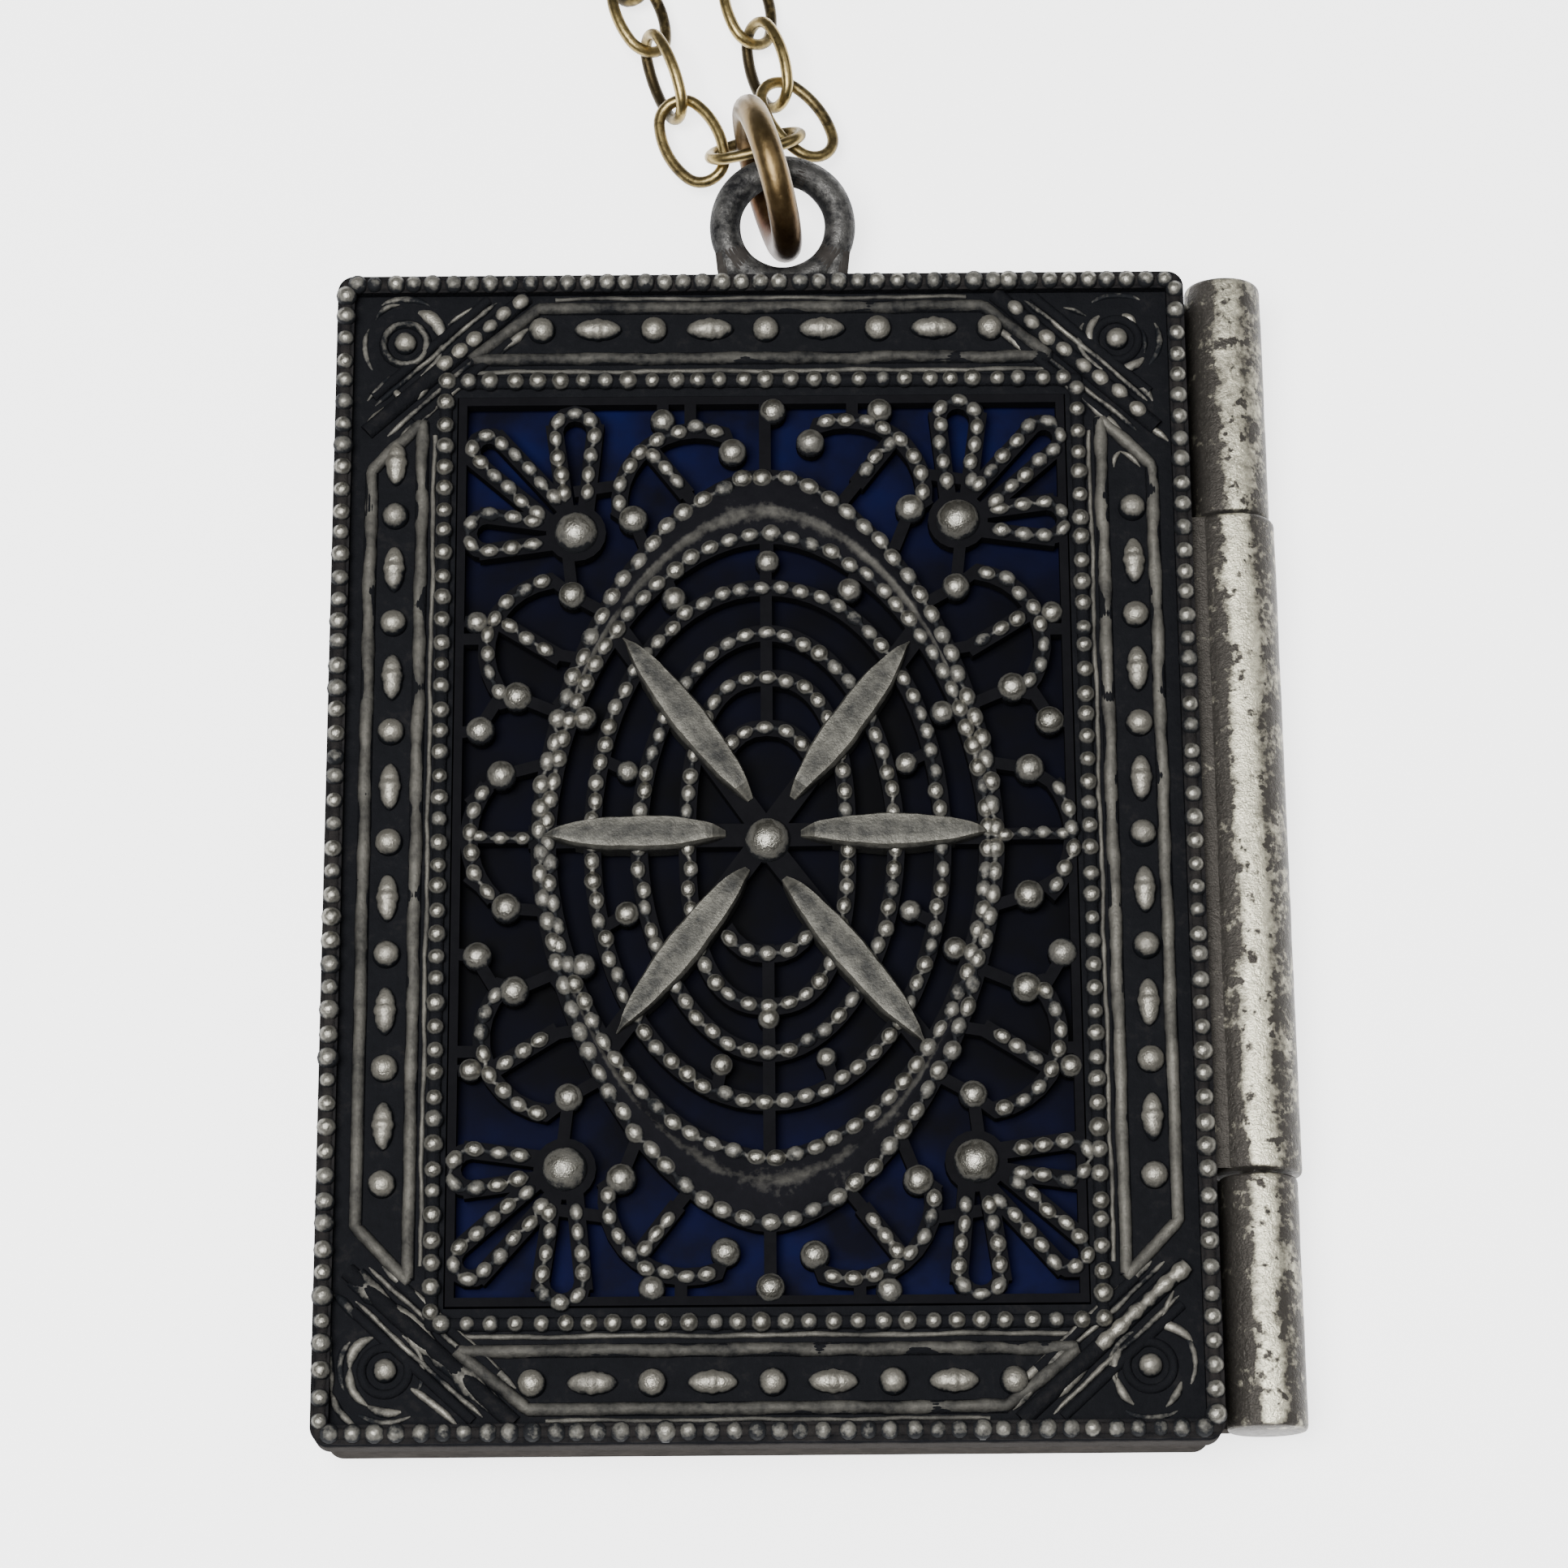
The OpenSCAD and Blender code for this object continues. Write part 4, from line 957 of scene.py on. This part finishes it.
# Ring of round wire standing upright: a circle in the plane of its lean and Z. It is worn most a
# little before its top
def ringTube():
    angle = turnAngles(jumpRing["rings"])
    lean = math.radians(jumpRing["lean"])
    level = np.array([-math.sin(lean), math.cos(lean), 0])
    face = steady([math.cos(lean), math.sin(lean), 0], len(angle))
    outward = np.cos(angle)[:, None] * level + np.sin(angle)[:, None] * np.array([0, 0, 1.0])
    at = np.array(jumpRing["centre"]) + jumpRing["radius"] * outward
    around = jumpRing["around"]
    wire = 0.5 * jumpRing["wire"]
    points, quads, tris, _ = spaceTube(at, outward, face, wire, around, closed=True)
    middle, swing, shift = jumpRing["wear"]
    wear = np.repeat(np.clip(middle + swing * np.sin(angle + shift), 0, 1), around)
    return points, quads, tris, wear


ring = addPiece("jumpRingWire", [ringTube()], "back", finish["brownRing"])
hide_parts("jump_ring")
print("spine, bail and ring made")

# Chain: the near links are x, y, z, heading, slope and roll
chain = dict(
    length=3.35, width=2.15, wire=0.37, endBend=0.74, roll=45, sideLinks=88, flank=129.0, bow=59.0,
    halfWidth=45.0, gap=1.72, direction=101, at=(-2.55, 31.07), claspRadius=3.0, claspWire=0.6,
    claspOff=0.2,
    near=[
        (-3.91, 28.65, 1.03, 107, -1, 30.5), (-3.09, 26.33, 1.08, 110, 0.5, -71.5),
        (-2.19, 24.05, 1.06, 116, 0.5, -13.5), (-0.15, 23.7, 1.41, 13, 5, -52),
        (1.2, 24.76, 1.13, 126, 3.5, 17), (0.25, 26.78, 0.99, 106.5, -1, -56.5),
        (-0.38, 29.01, 0.89, 99, -2, 33.5)],
    nearAround=16, loopAround=9, lift=0.01, steps=121, wearFrom=0.3, wearSpan=1.1,
    shine=(0.8, 1.15))
halfLength = (chain["length"] - chain["wire"]) / 2
halfWidth = (chain["width"] - chain["wire"]) / 2


# Rotation matrices of many links: roll about X, slope about Y, then heading about Z, in degrees
def turns(roll, slope, heading):
    r, p, h = (np.radians(np.asarray(a, float)) for a in (roll, slope, heading))
    one, zero = np.ones_like(r), np.zeros_like(r)
    aboutX = [one, zero, zero, zero, np.cos(r), -np.sin(r), zero, np.sin(r), np.cos(r)]
    aboutY = [np.cos(p), zero, np.sin(p), zero, one, zero, -np.sin(p), zero, np.cos(p)]
    aboutZ = [np.cos(h), -np.sin(h), zero, np.sin(h), np.cos(h), zero, zero, zero, one]
    x, y, z = (np.stack(about, -1).reshape(-1, 3, 3) for about in (aboutX, aboutY, aboutZ))
    return z @ y @ x


# Half the loop: a flank that widens by a smooth step, then a quarter ellipse, read at equal steps
def loopRoute():
    t = np.linspace(0, 1, chain["steps"])[:-1]
    widening = (chain["halfWidth"] - chain["gap"]) * t * t * (3 - 2 * t)
    flank = np.stack([chain["flank"] * t, chain["gap"] + widening], -1)
    q = np.radians(np.linspace(0, 90, chain["steps"]))
    bow = [chain["flank"] + chain["bow"] * np.sin(q), chain["halfWidth"] * np.cos(q)]
    route = np.vstack([flank, np.stack(bow, -1)])
    length = pathLength(route)
    reach = chain["claspRadius"] - chain["claspWire"] / 2 + chain["claspOff"]
    s = np.linspace(0, length - reach, chain["sideLinks"])
    ahead = readPath(route, np.minimum(s + 1, length)) - readPath(route, np.maximum(s - 1, 0))
    return readPath(route, s), ahead


# Places and turns of the loop's links: the half and its mirror image are turned and moved to where
# the loop starts, and the links lean left and right by turns
def loopPlaces():
    spots, spins = [], []
    at, ahead = loopRoute()
    roll = np.where(np.arange(len(at)) % 2 == 0, -1, 1) * chain["roll"]
    height = halfWidth * math.sin(math.radians(chain["roll"])) + chain["wire"] / 2 + chain["lift"]
    for side in (-1, 1):
        flat = rotated(at * [1, -side], chain["direction"]) + chain["at"]
        heading = np.degrees(np.arctan2(-side * ahead[:, 1], ahead[:, 0])) + chain["direction"]
        spots.append(np.column_stack([flat, np.full(len(at), height)]))
        spins.append(turns(roll, 0 * roll, heading))
    return np.concatenate(spots), np.concatenate(spins)


# Middle line of an oval link: a tight arc round each end and a wide one along each side, tangent
# where they meet
def ovalLine():
    endBend = chain["endBend"]
    straight = halfLength - endBend
    sideBend = (straight ** 2 + halfWidth ** 2 - endBend ** 2) / (2 * (halfWidth - endBend))
    sweep = math.degrees(math.atan2(sideBend - halfWidth, straight))
    half = np.vstack([arc((straight, 0), endBend, -sweep, sweep, 13),
                      arc((0, halfWidth - sideBend), sideBend, sweep, 180 - sweep, 12)[1:-1]])
    return np.vstack([half, -half])


# Middle line of a plain link: half a circle round each end, joined by two straight sides
def plainLine():
    half = arc((halfLength - halfWidth, 0), halfWidth, -90, 90, 13)
    return np.vstack([half, -half])


# Links of one shape: the points of one wire, turned and moved for all of them by whole arrays
def linkTubes(flat, spots, spins, around):
    tangent = np.roll(flat, -1, 0) - np.roll(flat, 1, 0)
    tangent = tangent / np.linalg.norm(tangent, axis=1, keepdims=True)
    level = np.zeros(len(flat))
    side = np.column_stack([tangent[:, 1], -tangent[:, 0], level])
    at, up = np.column_stack([flat, level]), steady([0, 0, 1], len(flat))
    points, quads, _, _ = spaceTube(at, side, up, chain["wire"] / 2, around, closed=True)
    placed = np.einsum("nij,pj->npi", spins, points) + spots[:, None]
    starts = (np.arange(len(spots)) * len(points))[:, None, None]
    wear = np.clip((placed[..., 2] - chain["wearFrom"]) / chain["wearSpan"], 0, 1)
    wear = wear * random.uniform(*chain["shine"], (len(spots), 1))
    return placed.reshape(-1, 3), (quads + starts).reshape(-1, 4), noTris, wear.ravel()


# The near links are ovals set one by one, and the others are plain links along the loop
def chainLinks():
    near = np.array(chain["near"])
    spins = turns(near[:, 5], -near[:, 4], near[:, 3])
    return [linkTubes(ovalLine(), near[:, :3], spins, chain["nearAround"]),
            linkTubes(plainLine(), *loopPlaces(), chain["loopAround"])]


links = addPiece("chainLinks", chainLinks(), "back", finish["dullBrass"])
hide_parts("chain")
print("chain made:", len(links.data.polygons), "faces")


# Finishes of the CAD nodes that stay

def dress(node, material):
    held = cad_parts[node]
    held.data.materials.clear()
    held.data.materials.append(material)


dress("back_cover", finish["greyBack"])
dress("front_cover", finish["darkCover"])
dress("filigree_panel", finish["darkPanel"])
dress("blue_sheet", blueFoil())
dress("hinge_pin", finish["plainPin"])
dress("clasp", finish["claspBrass"])


# Floor, light and camera. A light is x, y, z, power and size

studio = dict(
    floorHalf=600, floorTone=0.9, floorRoughness=0.7, floorGlow=2.6, sky=0.15,
    skyColour=(1, 0.99, 0.97, 1), key=(-45, -30, 200, 0.8, 110), fill=(120, 60, 220, 0.12, 160))


def makeFloor():
    half = studio["floorHalf"] * mm
    mesh = bpy.data.meshes.new("floor")
    mesh.from_pydata([(-half, -half, 0), (half, -half, 0), (half, half, 0), (-half, half, 0)], [],
                     [(0, 1, 2, 3)])
    floor = bpy.data.objects.new("floor", mesh)
    bpy.context.scene.collection.objects.link(floor)
    material, tree, shader = newMaterial("paleFloor")
    feed(tree, shader, {"Base Color": (*[studio["floorTone"]] * 3, 1),
                        "Roughness": studio["floorRoughness"], "Emission Color": (1, 1, 1, 1),
                        "Emission Strength": studio["floorGlow"]})
    mesh.materials.append(material)


# Square light that faces the origin
def softLight(name, x, y, z, power, size):
    light = bpy.data.lights.new(name, "AREA")
    light.shape = "SQUARE"
    light.size = size * mm
    light.energy = power
    lamp = bpy.data.objects.new(name, light)
    lamp.location = (x * mm, y * mm, z * mm)
    lamp.rotation_euler = (-lamp.location).to_track_quat("-Z", "Y").to_euler()
    bpy.context.scene.collection.objects.link(lamp)


# Faint even light from all round
def makeSky():
    world = bpy.data.worlds.new("sky")
    world.use_nodes = True
    feed(world.node_tree, world.node_tree.nodes["Background"],
         {"Color": studio["skyColour"], "Strength": studio["sky"]})
    bpy.context.scene.world = world


# The camera stands at a distance from its aim, tilted from straight above, and rolls a little
view = dict(
    aim=(0.31, 1.44, 4.0), distance=130.8, tilt=17.5, roll=-0.43, lens=100.3, sensor=36, nearest=5)


def makeCamera():
    data = bpy.data.cameras.new("camera")
    data.lens = view["lens"]
    data.sensor_width = view["sensor"]
    data.clip_start = view["nearest"] * mm
    camera = bpy.data.objects.new("camera", data)
    tilt = math.radians(view["tilt"])
    back = Vector((0, -math.sin(tilt), math.cos(tilt)))
    camera.location = (Vector(view["aim"]) + back * view["distance"]) * mm
    camera.rotation_mode = "XYZ"
    camera.rotation_euler = (tilt, 0, math.radians(view["roll"]))
    bpy.context.scene.collection.objects.link(camera)
    bpy.context.scene.camera = camera


makeFloor()
softLight("keyLight", *studio["key"])
softLight("fillLight", *studio["fill"])
makeSky()
makeCamera()
print("stage set")
